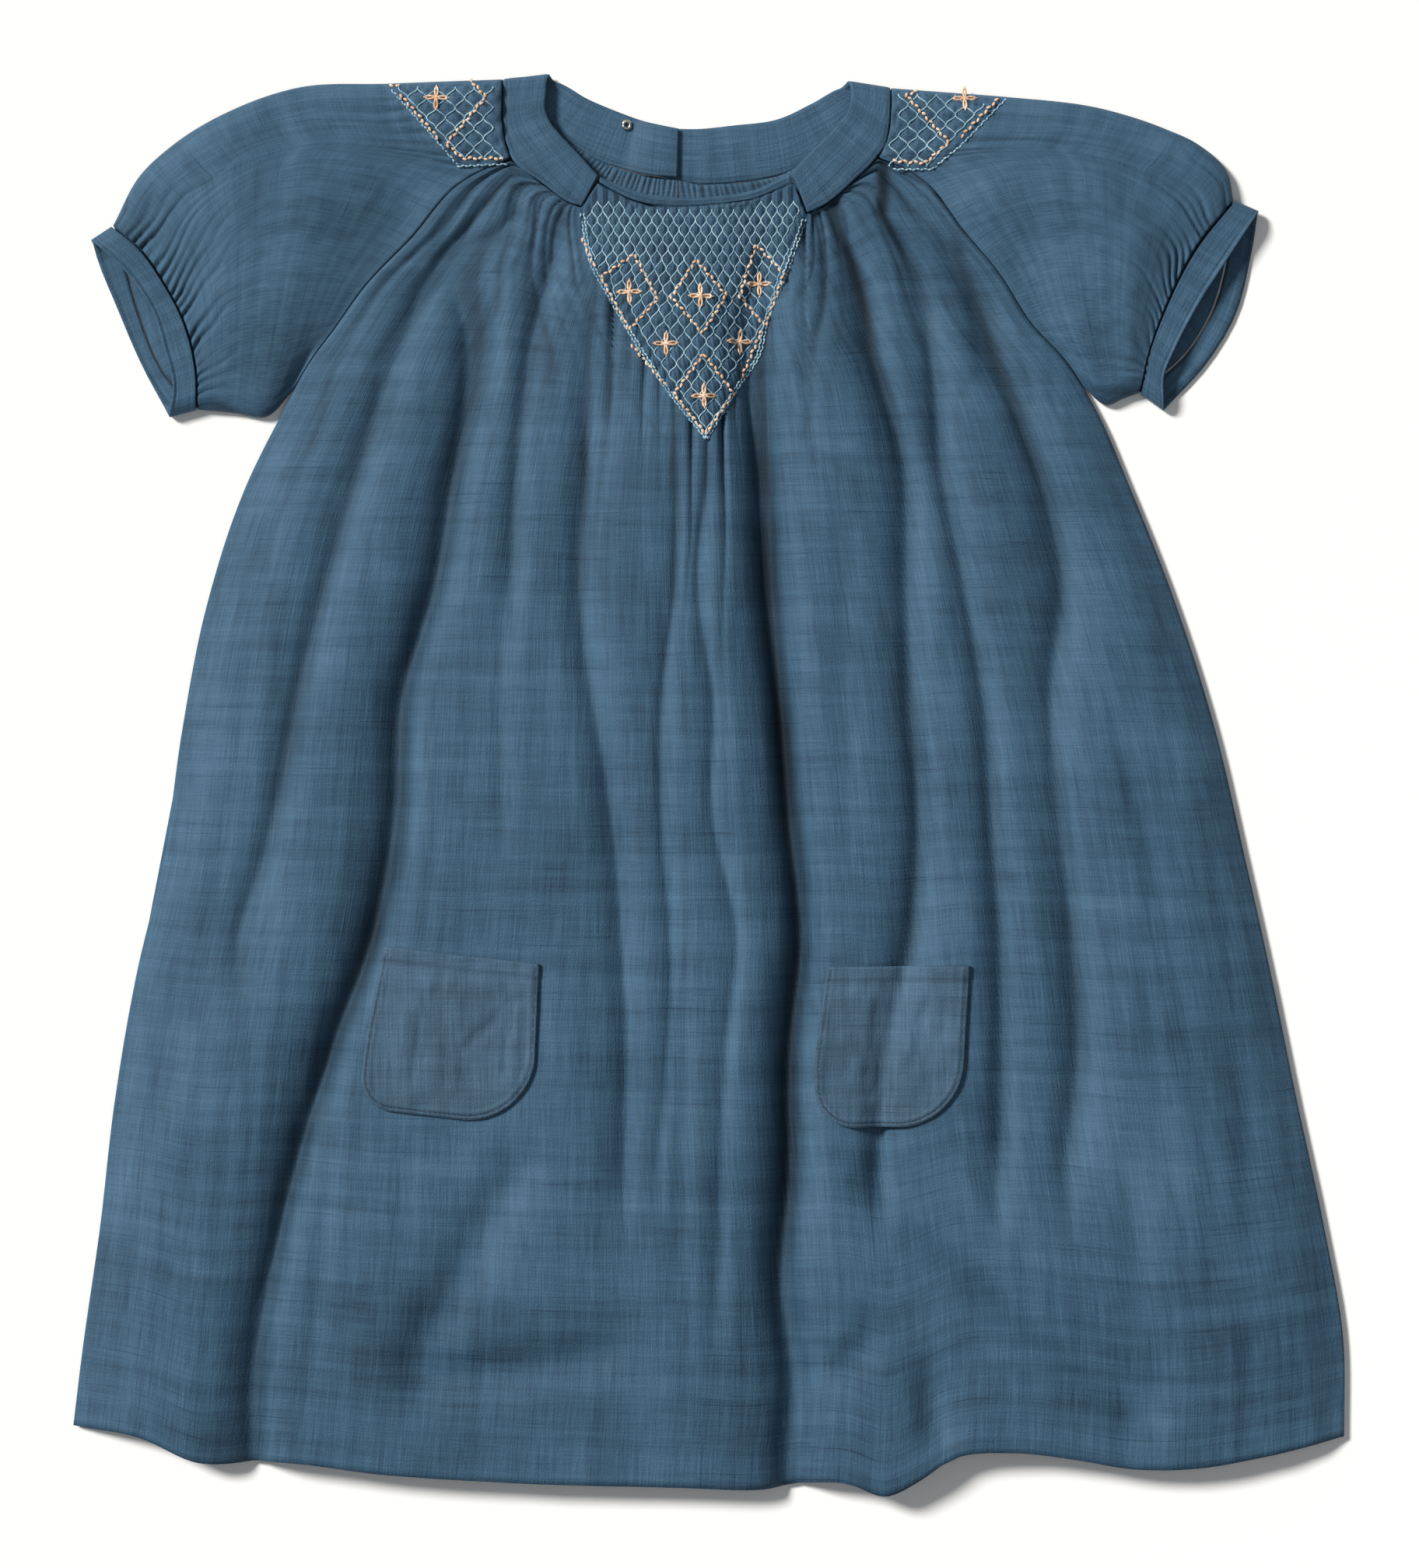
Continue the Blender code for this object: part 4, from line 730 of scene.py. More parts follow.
def makeBack():
    rowsT = np.concatenate((np.linspace(0, 0.14, backForm["rowsTop"], endpoint=False),
                            np.linspace(0.14, 1, backForm["rowsBelow"])))
    stepR, stepC = backForm["steps"]
    t = rowsT[:, None]
    parts, uvs, paintedShades = [], [], []
    for side, inward in (("left", 1), ("right", -1)):
        table = frontForm["sideLeft" if side == "left" else "sideRight"]
        top = backForm["neck"][0 if side == "left" else -1]
        corner = backForm["corner"][side]
        turn = (corner[0] + inward * 0.4, corner[1] - 0.4)
        arm = backForm["underarm"][side]
        below = [(x + inward * backForm["sideInset"], y) for x, y in table if y < arm[1] - 5]
        path = np.vstack((alongChords((top, turn, arm), np.linspace(0, 1, 80)),
                          along([arm] + below, np.linspace(0, 1, 200))[1:]))
        edge = np.interp(t, rowOf(backY, path[:, 0], path[:, 1]), path[:, 0])
        slitY = backY(np.full(t.shape, backForm["slitX"]), t)
        slit = backForm["slitX"] - inward * 0.4 * (slitY > backForm["slitEnd"])
        share = np.linspace(0, 1, backForm["columns"] + 1)[None]
        x = edge + (slit - edge) * share if inward > 0 else slit + (edge - slit) * share
        y = backY(x, np.broadcast_to(t, x.shape))
        down = t * backForm["drop"]
        count = 64.0 / backForm["gather"]
        fold = ridges(share * count + 0.4 * waves(share * 20, down, 1.0, 20.0, 31), 0.7)
        fade = np.exp(-down / 24.0) * smooth(down / 2.0 + 0.2)
        puff = 1.0 * fold * fade + 0.25 * (1 + waves(x, y, 9.0, 40.0, 33)) * smooth(down / 30) * (y > -280)
        if inward < 0:  # the right half laps over the slit by a hair
            puff = puff + 0.15 * np.exp(-((x - backForm["slitX"]) / 2.0) ** 2) * fade
        outer = np.stack((x, y, 1.2 + puff), axis=-1)
        inner = np.stack((x, y, np.zeros_like(x)), axis=-1)
        faces = wallFaces(*x.shape, stepR, stepC, False)
        low = inner[::stepR, ::stepC]
        parts.append((np.vstack((outer.reshape(-1, 3), low.reshape(-1, 3))), faces))
        uv = np.stack((x * (1 + 1.2 * np.exp(-down / 60)), y), axis=-1)
        uvs.append(np.vstack((uv.reshape(-1, 2), uv[::stepR, ::stepC].reshape(-1, 2))))
        # Painted shade in the valleys of the gathers under the neck
        dark = (1 - fold) ** 1.5 * fade * 0.9
        paintedShades.append(np.concatenate((dark.ravel(), dark[::stepR, ::stepC].ravel())))
    points, faces = joined(parts)
    paintedShade = np.concatenate(paintedShades)
    fields = {"paintedShade": paintedShade, "turnUp": np.zeros_like(paintedShade)}
    return makePiece("backCloth", points, faces, dressSilk, np.vstack(uvs), fields, ("back",), "dress_silk")


backCloth = makeBack()
print("back made")

# Sleeves and cuffs

sleeveForm = {
    "left": {
        "top": ((-93.2, 317.4), (-144.0, 315.5), (-186.0, 313.5), (-214.0, 304.0), (-242.0, 287.5),
                (-256.0, 274.5), (-268.5, 251.5)),
        "under": ((-200.0, 165.2), (-214.0, 167.0), (-230.0, 168.5)),
        "cuff": ((-268.5, 251.5), (-255.0, 240.0), (-245.0, 225.5), (-235.0, 206.0), (-230.0, 182.5),
                 (-230.0, 168.5)),
        "cuffBack": ((-268.5, 251.5), (-264.0, 238.0), (-257.0, 213.0), (-245.5, 185.0), (-230.0, 168.5)),
        "mouth": ((-278.5, 245.0), (-263.5, 231.5), (-250.5, 213.0), (-245.0, 195.5), (-241.0, 177.0),
                  (-243.0, 165.0)),
        "mouthBack": ((-278.5, 245.0), (-275.0, 234.0), (-268.0, 217.0), (-255.0, 187.0), (-243.0, 165.0)),
        "band": ((-93.2, 309.0), (-93.3, 298.0), (-91.9, 288.5), (-89.6, 281.6)),
        "back": ((-92.2, 315.2), (-86.6, 309.2), (-78.7, 302.0), (-135.0, 235.0)),
        "smocking": ((-146.0, 320.0), (-144.0, 313.5), (-122.0, 285.5), (-112.0, 277.0), (-88.0, 277.0),
                     (-88.0, 320.0)),
        "knot": (-122.5, 294.7),
    },
    "right": {
        "top": ((82.4, 313.4), (108.0, 311.5), (134.0, 309.5), (178.0, 304.0), (206.0, 295.0),
                (220.0, 288.5), (234.0, 275.0), (236.5, 263.0)),
        "under": ((180.0, 170.5), (187.0, 173.5), (194.0, 176.0)),
        "cuff": ((236.5, 263.0), (218.5, 240.5), (205.0, 213.5), (197.0, 191.0), (194.0, 176.0)),
        "cuffBack": ((236.5, 263.0), (234.0, 241.0), (227.0, 214.0), (216.5, 196.0), (194.0, 176.0)),
        "mouth": ((248.0, 258.0), (234.5, 237.5), (220.0, 215.0), (209.5, 195.0), (205.0, 184.0),
                  (205.0, 168.0)),
        "mouthBack": ((248.0, 258.0), (244.5, 237.5), (237.5, 211.0), (226.5, 192.0), (205.0, 168.0)),
        "band": ((82.4, 306.0), (81.8, 296.0), (80.0, 287.5), (76.5, 281.6)),
        "back": ((81.2, 311.0), (76.6, 303.2), (68.7, 296.6), (122.0, 235.0)),
        "smocking": ((136.0, 316.0), (134.0, 309.0), (113.5, 286.5), (100.5, 275.0), (74.0, 275.0),
                     (74.0, 316.0)),
        "knot": (115.2, 296.1),
    },
    "bow": 20.0, "rise": 15.0, "cuffRise": 8.6, "round": 9.0, "foldTop": 3.4, "foldLow": 2.2,
    "steps": 112, "across": 150, "backAcross": 59, "cellWide": 8.5, "cellTall": 9.1,
    "fans": 26, "tucks": 21, "flat": (210.0, 190.0), "cloth": 1.2, "cuffCloth": 1.5, "cuffFlat": (11.0, 95.0),
}


# Patch between four lines: start and end run from the top line to the lower line
def patch(start, end, top, lower, across, down):
    s, u = across[:, None, None], down[None, :, None]
    sides = (1 - s) * start[None] + s * end[None]
    rails = (1 - u) * top[:, None] + u * lower[:, None]
    corners = ((1 - s) * (1 - u) * start[0] + (1 - s) * u * start[-1]
               + s * (1 - u) * end[0] + s * u * end[-1])
    return sides + rails - corners


# Upper layer of a flattened tube, rounded down to its folds along both edges
def tubeHeight(rise, offTop, offLow, topFold, lowFold):
    top = np.sqrt(1 - (1 - np.clip(offTop / sleeveForm["round"], 0, 1)) ** 2)
    low = np.sqrt(1 - (1 - np.clip(offLow / sleeveForm["round"], 0, 1)) ** 2)
    fold = np.where(offTop < offLow, topFold, lowFold)
    return fold + (rise - fold) * np.minimum(top, low)


# Rings of a tube: the upper layer from the top fold to the lower fold, then the under layer back
def tubeRings(upper, lower, high, raised, thick):
    back = lower[:, ::-1]
    outer = np.concatenate((np.concatenate((upper, (high + raised)[..., None]), axis=-1),
                            np.concatenate((back, np.zeros(back.shape[:2] + (1,))), axis=-1)), axis=1)
    flat = upper[:, 1] - upper[:, 0]
    rise = upper[:, -2] - upper[:, -1]
    insetTop = flat / np.linalg.norm(flat, axis=-1, keepdims=True) * thick
    insetLow = rise / np.linalg.norm(rise, axis=-1, keepdims=True) * thick
    core = upper.copy()
    reach = np.exp(-np.linalg.norm(upper - upper[:, :1], axis=-1) / 2.0)[..., None]
    core = core + insetTop[:, None] * reach
    reach = np.exp(-np.linalg.norm(upper - upper[:, -1:], axis=-1) / 2.0)[..., None]
    core = core + insetLow[:, None] * reach
    under = np.minimum(high, spread(high, 4, np.min) + 0.4) - thick
    under[:, :1] = np.maximum(high[:, :1], thick + 0.3)
    under[:, -1:] = np.maximum(high[:, -1:], thick + 0.3)
    under = np.maximum(under, thick + 0.3)
    innerBack = back.copy()
    innerBack[:, 0] += insetLow * 0.4
    innerBack[:, -1] += insetTop * 0.4
    floorZ = np.full(back.shape[:2] + (1,), thick)
    inner = np.concatenate((np.concatenate((core, under[..., None]), axis=-1),
                            np.concatenate((innerBack, floorZ), axis=-1)), axis=1)
    return outer, inner


def sleeveSeams(side):
    table = sleeveForm[side]
    outward = -1 if side == "left" else 1
    edge = sideLeftAt if side == "left" else sideRightAt
    rows = np.linspace(0, float(rowOf(frontY, np.array([backForm["underarm"][side][0]]),
                                      np.array([backForm["underarm"][side][1]]))[0]), 60)
    x = edge(rows)
    raglan = np.stack((x, frontY(x, rows)), axis=-1)
    tangent = np.gradient(raglan, axis=0)
    tangent /= np.linalg.norm(tangent, axis=1, keepdims=True)
    raglan = raglan + 0.4 * np.stack((-tangent[:, 1], tangent[:, 0]), axis=-1) * outward
    raglan[0] = table["band"][-1]
    seam = np.vstack((table["top"][0], table["band"][:-1], raglan))
    end, corner = seam[-1], np.array(table["back"][-1])
    lower = [corner + (end - corner) * part for part in (0.5, 0.97, 1.0)]
    return seam, np.vstack((table["top"][0], table["back"], lower))


# Heights looked up over the plan, from a dense set of points spread into cells
class HeightMap:
    def __init__(self, points, cell=0.7):
        self.low = points[:, :2].min(axis=0) - 2
        self.cell = cell
        size = np.ceil((points[:, :2].max(axis=0) + 2 - self.low) / cell).astype(int) + 1
        at = np.round((points[:, :2] - self.low) / cell).astype(int)
        total, count = np.zeros(size), np.zeros(size)
        np.add.at(total, (at[:, 0], at[:, 1]), points[:, 2])
        np.add.at(count, (at[:, 0], at[:, 1]), 1)
        self.z = total / np.maximum(count, 1)
        for _ in range(4):
            empty = count == 0
            near = [np.roll(self.z * (count > 0), s, a) for s in (1, -1) for a in (0, 1)]
            full = [np.roll((count > 0) * 1.0, s, a) for s in (1, -1) for a in (0, 1)]
            self.z = np.where(empty, sum(near) / np.maximum(sum(full), 1), self.z)
            count = np.where(empty, (sum(full) > 0) * 1.0, count)

    def at(self, x, y):
        near = [np.round((np.asarray(v) - low) / self.cell).astype(int) for v, low in zip((x, y), self.low)]
        i, j = (np.clip(k, 0, size - 1) for k, size in zip(near, self.z.shape))
        return self.z[i, j]


sleeveSkins = {}


# How far round a ring each column stands: 0 to 1 over the upper layer, 1 to 2 over the under layer
def ringShares(share, backShare, rows):
    return np.broadcast_to(np.concatenate((share, 1 + backShare[1:-1])),
                           (rows, len(share) + len(backShare) - 2))


def makeSleeve(side):
    table = sleeveForm[side]
    seamLine, backLine = sleeveSeams(side)
    steps = np.linspace(0, 1, sleeveForm["steps"] + 1)
    even = np.linspace(0, 1, sleeveForm["across"] + 1)
    share = smooth(even) * 0.35 + even * 0.65
    backShare = np.linspace(0, 1, sleeveForm["backAcross"] + 2)
    seam = alongChords(seamLine, share)
    backSeam = alongChords(backLine, backShare)
    top = along(table["top"], steps)
    under = along((tuple(seam[-1]),) + table["under"], steps)
    upper = patch(seam, along(table["cuff"], share), top, under, steps, share)
    lower = patch(backSeam, along(table["cuffBack"], backShare), top, under, steps, backShare)[:, 1:-1]
    s = steps[:, None]
    upper[..., 1] += sleeveForm["bow"] * 4 * s * (1 - s) * np.sin(math.pi * share) ** 2
    seamHigh = frontHeight(seam[:, 0], seam[:, 1])
    atBand = share < chordLength(seamLine)[len(table["band"])] / chordLength(seamLine)[-1]
    seamHigh = np.maximum(np.where(atBand, 8.2, seamHigh), 3.4)
    body = 7.0 + (sleeveForm["rise"] - 7.0) * np.sin(math.pi * share) ** 0.8
    blend = smooth(s * 2.4)
    rise = (1 - blend) * seamHigh + blend * body
    rise = rise + (sleeveForm["cuffRise"] - rise) * smooth((s - 0.72) / 0.28)
    offTop = np.linalg.norm(upper - upper[:, :1], axis=-1)
    offLow = np.linalg.norm(upper - upper[:, -1:], axis=-1)
    x, y = upper[..., 0], upper[..., 1]
    edge = smooth(np.minimum(offTop, offLow) / 9.0)
    border = table["smocking"][1:-1]
    out = lineDistance(x, y, border)
    worked = insideOf(table["smocking"], x, y)
    away = np.where(worked, 0.0, out)
    seed = 40 if side == "left" else 60
    count = share[None] * sleeveForm["fans"] + 0.9 * waves(x, y, 30.0, 30.0, seed)
    fan = ridges(count, 0.8)
    fanOwn = 0.2 + valleyChance(count, seed + 5)
    fanFade = np.exp(-away / (7.0 + 16.0 * fanOwn)) * fanOwn * ~worked * (share > 0.02)
    toCuff = np.linalg.norm(upper - upper[-1:], axis=-1)
    tuckPhase = share[None] * sleeveForm["tucks"] + 0.8 * waves(x, y, 16.0, 16.0, seed + 1)
    tuckOwn = 0.15 + 1.1 * valleyChance(tuckPhase, seed + 6)
    atCuff = np.exp(-toCuff / (5.0 + 13.0 * tuckOwn)) * tuckOwn
    tuck = ridges(tuckPhase, 0.8)
    cloth = 1.3 * waves(x, y, 31.0, 36.0, seed + 2) + 0.7 * waves(x, y, 15.0, 20.0, seed + 3)
    cloth = cloth + 0.25 * waves(x, y, 6.0, 7.0, seed + 4)
    folds = cloth * edge * (1 - worked) * smooth(s * 12)
    folds = folds - (1.0 * fanFade * (1 - fan) + 2.6 * atCuff * (1 - tuck)) * edge
    mapA = (x - table["knot"][0]) / (sleeveForm["cellWide"] / 2)
    mapB = (y - table["knot"][1]) / (sleeveForm["cellTall"] / 2)
    raised, gaps = diamonds(mapA, mapB, 0.9, 0.5)
    soft = smooth(out / 1.5) * worked * smooth(offTop / 3.0)
    # Painted shade in the valleys of the shoulder fans and cuff tucks, and between the smocked pleats
    paintedShade = (1 - fan) ** 2.4 * fanFade * 0.55 + (1 - tuck) ** 2.4 * atCuff * 0.8 + gaps * soft * 0.75
    high = tubeHeight(rise + folds, offTop, offLow, sleeveForm["foldTop"], sleeveForm["foldLow"])
    outer, inner = tubeRings(upper, lower, high, raised * soft, sleeveForm["cloth"])
    sleeveSkins[side] = HeightMap(outer[:, :len(share)].reshape(-1, 3))
    ringUv = ringShares(share, backShare, x.shape[0])
    wide, tall = sleeveForm["flat"]
    uv = np.stack((ringUv * wide, np.broadcast_to(-s * tall, ringUv.shape)), axis=-1)
    paintedShade = np.concatenate((np.clip(paintedShade, 0, 1), np.zeros(lower.shape[:2])), axis=1)
    fields = {"paintedShade": paintedShade, "turnUp": np.zeros_like(paintedShade)}
    return makeWall("sleeveCloth_" + side, outer, inner, (4, 5), True, dressSilk, uv, fields,
                    "sleeve_" + side, "dress_silk"), share, backShare


def makeCuff(side, share, backShare):
    table = sleeveForm[side]
    s = np.linspace(0.08, 1, 25)[:, None, None]
    upper = (1 - s) * along(table["cuff"], share) + s * along(table["mouth"], share)
    lower = (1 - s) * along(table["cuffBack"], backShare) + s * along(table["mouthBack"], backShare)
    lower = lower[:, 1:-1]
    offTop = np.linalg.norm(upper - upper[:, :1], axis=-1)
    offLow = np.linalg.norm(upper - upper[:, -1:], axis=-1)
    x, y = upper[..., 0], upper[..., 1]
    part = s[..., 0]
    seamTuck = 0.4 * np.exp(-part * 9) * (ridges(share[None] * sleeveForm["tucks"], 0.8) - 0.5)
    roll = 0.45 * np.exp(-((part - 0.96) / 0.06) ** 2) - 0.35 * np.exp(-((part - 0.86) / 0.02) ** 2)
    cloth = 0.3 * waves(x, y, 14.0, 14.0, 71) + seamTuck + roll
    rise = sleeveForm["cuffRise"] + cloth * smooth(np.minimum(offTop, offLow) / 8.0)
    high = tubeHeight(rise, offTop, offLow, sleeveForm["foldTop"], sleeveForm["foldLow"] + 0.6)
    outer, inner = tubeRings(upper, lower, high, np.zeros_like(high), sleeveForm["cuffCloth"])
    ringUv = ringShares(share, backShare, x.shape[0])
    partAll = np.broadcast_to(part, ringUv.shape)
    tall, wide = sleeveForm["cuffFlat"]
    uv = np.stack((partAll * tall, ringUv * wide), axis=-1)
    # Painted shade in the crease under the rolled edge and at the seam to the sleeve
    paintedShade = 0.5 * np.exp(-((partAll - 0.86) / 0.02) ** 2) + 0.35 * np.exp(-(partAll - 0.08) * 30)
    fields = {"paintedShade": np.clip(paintedShade, 0, 1), "turnUp": np.zeros_like(paintedShade)}
    return makeWall("cuffCloth_" + side, outer, inner, (4, 5), True, bandSilk, uv, fields,
                    "cuff_" + side, "band_silk")


sleeves, cuffs = {}, {}
for side in ("left", "right"):
    sleeves[side], upShare, downShare = makeSleeve(side)
    cuffs[side] = makeCuff(side, upShare, downShare)
print("sleeves and cuffs made")

# Neckbands and binding

bandForm = {
    # x and y of the inner edge, x and y of the outer edge, height
    "left": (
        (-49.8, 273.4, -57.2, 259.7, 8.4), (-54.0, 278.0, -63.3, 261.7, 8.3),
        (-58.5, 283.0, -74.2, 269.6, 8.2), (-67.0, 292.0, -88.4, 280.8, 7.8),
        (-71.0, 297.0, -91.3, 288.5, 7.3), (-73.5, 303.0, -92.7, 298.0, 6.8),
        (-73.2, 312.0, -92.7, 309.0, 6.3), (-72.8, 317.0, -92.6, 315.2, 5.6),
        (-72.0, 319.2, -92.4, 317.0, 3.6), (-70.4, 317.4, -91.4, 315.0, 1.5),
        (-66.0, 315.5, -86.0, 309.5, 0.75), (-54.0, 308.5, -65.0, 291.0, 0.75),
        (-37.0, 301.5, -45.5, 279.5, 0.75), (-32.0, 299.7, -37.0, 277.0, 0.78),
        (-27.0, 298.0, -30.0, 275.0, 2.9), (-13.7, 295.2, -14.2, 273.4, 2.9)),
    "right": (
        (37.4, 275.0, 44.3, 256.8, 8.4), (41.0, 279.0, 51.8, 260.2, 8.3),
        (47.0, 285.0, 65.6, 271.6, 8.2), (58.0, 296.0, 75.4, 281.6, 7.8),
        (62.5, 302.0, 79.4, 287.5, 7.3), (64.0, 308.0, 81.2, 296.0, 6.8),
        (64.0, 312.0, 81.8, 306.0, 6.3), (63.6, 314.4, 81.8, 311.0, 5.6),
        (62.8, 316.0, 81.6, 313.0, 3.6), (61.0, 314.6, 80.6, 311.0, 1.5),
        (56.5, 312.5, 76.0, 303.5, 0.75), (46.0, 306.5, 57.0, 286.9, 0.75),
        (28.5, 299.0, 31.5, 274.5, 0.75), (12.0, 297.0, 14.5, 271.5, 0.75),
        (-5.5, 295.3, -4.5, 270.6, 0.75), (-24.0, 296.0, -24.4, 274.6, 0.75)),
    "binding": (
        (-48.9, 272.6, -49.2, 270.4, 8.6), (-42.5, 270.0, -42.5, 266.5, 8.6),
        (-30.0, 265.5, -31.5, 261.8, 8.6), (-16.5, 263.5, -17.0, 260.0, 8.6),
        (3.0, 263.8, 3.0, 260.9, 8.6), (20.5, 266.9, 20.5, 263.4, 8.6),
        (36.6, 274.6, 37.0, 270.6, 8.6)),
}


# Ribbon through rows of two edges and a height, thickened to both sides of its middle
def makeRibbon(name, table, thick, rows, cols, node, rounding, seed):
    lines = along(table, np.linspace(0, 1, rows + 1))
    share = np.linspace(0, 1, cols + 1)
    x = lines[:, :1] + (lines[:, 2:3] - lines[:, :1]) * share
    y = lines[:, 1:2] + (lines[:, 3:4] - lines[:, 1:2]) * share
    middle = np.stack((x, y, np.broadcast_to(lines[:, 4:], x.shape)), axis=-1)
    normal = np.cross(np.gradient(middle, axis=0), np.gradient(middle, axis=1))
    normal /= np.linalg.norm(normal, axis=-1, keepdims=True)
    run = chordLength(lines[:, :2])[:, None]
    wide = np.linalg.norm(lines[:, 2:4] - lines[:, :2], axis=1)[:, None]
    fromEdge = np.minimum(share, 1 - share)[None] * wide
    bulge = rounding * (smooth(fromEdge / 1.6) - 1)
    relief = 0.22 * waves(run + 0 * share, share * wide, 11.0, 14.0, seed) * smooth(fromEdge / 3.0)
    relief = relief + 0.1 * waves(run + 0 * share, share * wide, 3.0, 9.0, seed + 1)
    stitch = np.exp(-(((1 - share) * wide - 1.8) / 0.45) ** 2) * 0.22
    over = middle + normal * (thick / 2 + bulge + relief - stitch)[..., None]
    below = middle - normal * (thick / 2 + 0.5 * bulge)[..., None]
    over[..., 2] = np.maximum(over[..., 2], 0.0)
    below[..., 2] = np.maximum(below[..., 2], 0.0)
    uv = np.stack((share * wide, run + 0 * share), axis=-1)
    # Painted shade in the groove of the stitch line
    fields = {"paintedShade": np.clip(stitch * 1.6, 0, 1) * np.ones_like(x), "turnUp": np.zeros_like(x)}
    return makeWall(name, over, below, (1, 1), False, bandSilk, uv, fields, node, "band_silk")


bands = {side: makeRibbon("neckbandCloth_" + side, bandForm[side], 1.5, 180, 24, "neckband_" + side, 0.35, 80)
         for side in ("left", "right")}
binding = makeRibbon("bindingCloth", bandForm["binding"], 1.8, 120, 10, "front_binding", 0.55, 90)
print("bands made")

# Pockets

pocketForm = {
    # x, y, tilt in degrees, half top, left low, right low, depth, left round, right round
    "left": (-110.5, -77.0, -6.5, 35.0, 38.5, 38.0, 73.0, 15.0, 30.0),
    "right": (85.0, -82.0, 0.5, 32.0, 38.0, 29.0, 72.0, 18.0, 30.0),
    "columns": 96, "rows": 96, "hem": 6.5,
    # creases across each pocket: depth, reach, then two ends as parts of its half width and depth
    "creases": {
        "left": ((0.9, 3.0, -0.6, 0.15, 0.3, 0.75), (0.7, 2.5, 0.9, 0.2, 0.1, 0.6),
                 (0.6, 3.0, -0.2, 0.1, -0.5, 0.8), (0.7, 2.5, 0.7, 0.15, 0.75, 0.7)),
        "right": ((0.9, 3.0, -0.3, 0.15, -0.5, 0.85), (0.6, 3.0, 0.5, 0.15, 0.2, 0.6),
                  (0.7, 2.0, 0.0, 0.3, 0.6, 0.5), (0.6, 3.0, -0.8, 0.4, 0.1, 0.9))},
}


def pocketEdge(low, top, depth, radius, down):
    straight = top + (low - top) * np.clip(down / (depth * 0.6), 0, 1)
    into = np.clip(down - (depth - radius), 0, radius)
    return straight - radius + np.sqrt(np.maximum(radius * radius - into * into, 0))


# A pocket lies on the highest cloth within 5 mm, smoothed, and its turned edges stand a little prouder
def makePocket(side):
    centreX, centreY, tilt, top, leftLow, rightLow, depth, leftRound, rightRound = pocketForm[side]
    turn = math.radians(tilt)
    part = np.sin(np.linspace(0, math.pi / 2, pocketForm["rows"] + 1))
    down = (depth * part)[:, None]
    left = -pocketEdge(leftLow, top, depth, leftRound, down)
    right = pocketEdge(rightLow, top, depth, rightRound, down)
    share = np.linspace(0, 1, pocketForm["columns"] + 1)
    a = left + (right - left) * share
    x = centreX + a * math.cos(turn) + down * math.sin(turn)
    y = centreY + a * math.sin(turn) - down * math.cos(turn)
    gx = np.arange(x.min() - 12, x.max() + 12, 1.0)
    gy = np.arange(y.min() - 12, y.max() + 12, 1.0)
    field = frontSkin(*np.meshgrid(gx, gy, indexing="ij"))
    field = spread(spread(field, 4, np.max), 2, np.mean)
    i, j = (x - gx[0]), (y - gy[0])
    i0, j0 = np.floor(i).astype(int), np.floor(j).astype(int)
    fi, fj = i - i0, j - j0
    bed = ((field[i0, j0] * (1 - fi) + field[i0 + 1, j0] * fi) * (1 - fj)
           + (field[i0, j0 + 1] * (1 - fi) + field[i0 + 1, j0 + 1] * fi) * fj) + 0.3
    outline = np.concatenate((np.stack((x[:, 0], y[:, 0]), -1), np.stack((x[-1], y[-1]), -1),
                              np.stack((x[::-1, -1], y[::-1, -1]), -1)))
    fromEdge = lineDistance(x, y, outline[::6].tolist() + outline[-1:].tolist())
    seam = smooth((4.5 - fromEdge) / 1.2)
    hem = smooth((pocketForm["hem"] - down) / 1.2) * np.ones_like(x)
    stitch = np.exp(-((fromEdge - 1.7) / 0.5) ** 2) * (down > 1.5)
    hemLine = np.exp(-((down - pocketForm["hem"]) / 0.6) ** 2) * np.ones_like(x)
    cloth = 0.35 * waves(x, y, 9.0, 12.0, 101) + 0.25 * waves(x, y, 4.5, 7.0, 102)
    half = (right - left) / 2
    for deep, reach, a0, d0, a1, d1 in pocketForm["creases"][side]:
        ends = [(a0 * half.mean(), -d0 * depth), (a1 * half.mean(), -d1 * depth)]
        cloth = cloth - slanting(a, -down * np.ones_like(a), deep, reach, *ends[0], *ends[1], 8.0)
    inner = smooth(fromEdge / 5.0)
    relief = 1.2 + 0.3 * hem + 0.25 * seam - 0.35 * stitch - 0.3 * hemLine + cloth * inner
    relief = np.maximum(relief, 0.6) - 0.5 * smooth((0.8 - fromEdge) / 0.8)
    outer = np.stack((x, y, bed + relief), axis=-1)
    under = np.stack((x, y, bed), axis=-1)
    # Painted shade in the dashed stitch groove and in the groove of the hem
    paintedShade = np.clip(0.55 * stitch * (np.abs(np.sin((x + y) * 1.6)) > 0.25) + 0.4 * hemLine, 0, 1)
    fields = {"paintedShade": paintedShade, "turnUp": np.zeros_like(x)}
    uv = np.stack((x + 400.0, y), axis=-1)
    return makeWall("pocketCloth_" + side, outer, under, (2, 2), False, pocketSilk, uv, fields,
                    "pocket_" + side, "pocket_silk")


pockets = {side: makePocket(side) for side in ("left", "right")}
print("pockets made")

# Press stud

studForm = {
    "x": -37.0, "y": 297.0, "base": 1.8, "sides": 64,
    # radius and height of the turned profile
    "profile": ((2.5, 0.0), (2.5, 0.35), (2.38, 0.55), (2.1, 0.85), (1.85, 1.05), (1.6, 1.1), (1.4, 1.08),
                (1.2, 0.95), (1.0, 0.75), (0.9, 0.55), (0.9, 0.0)),
}


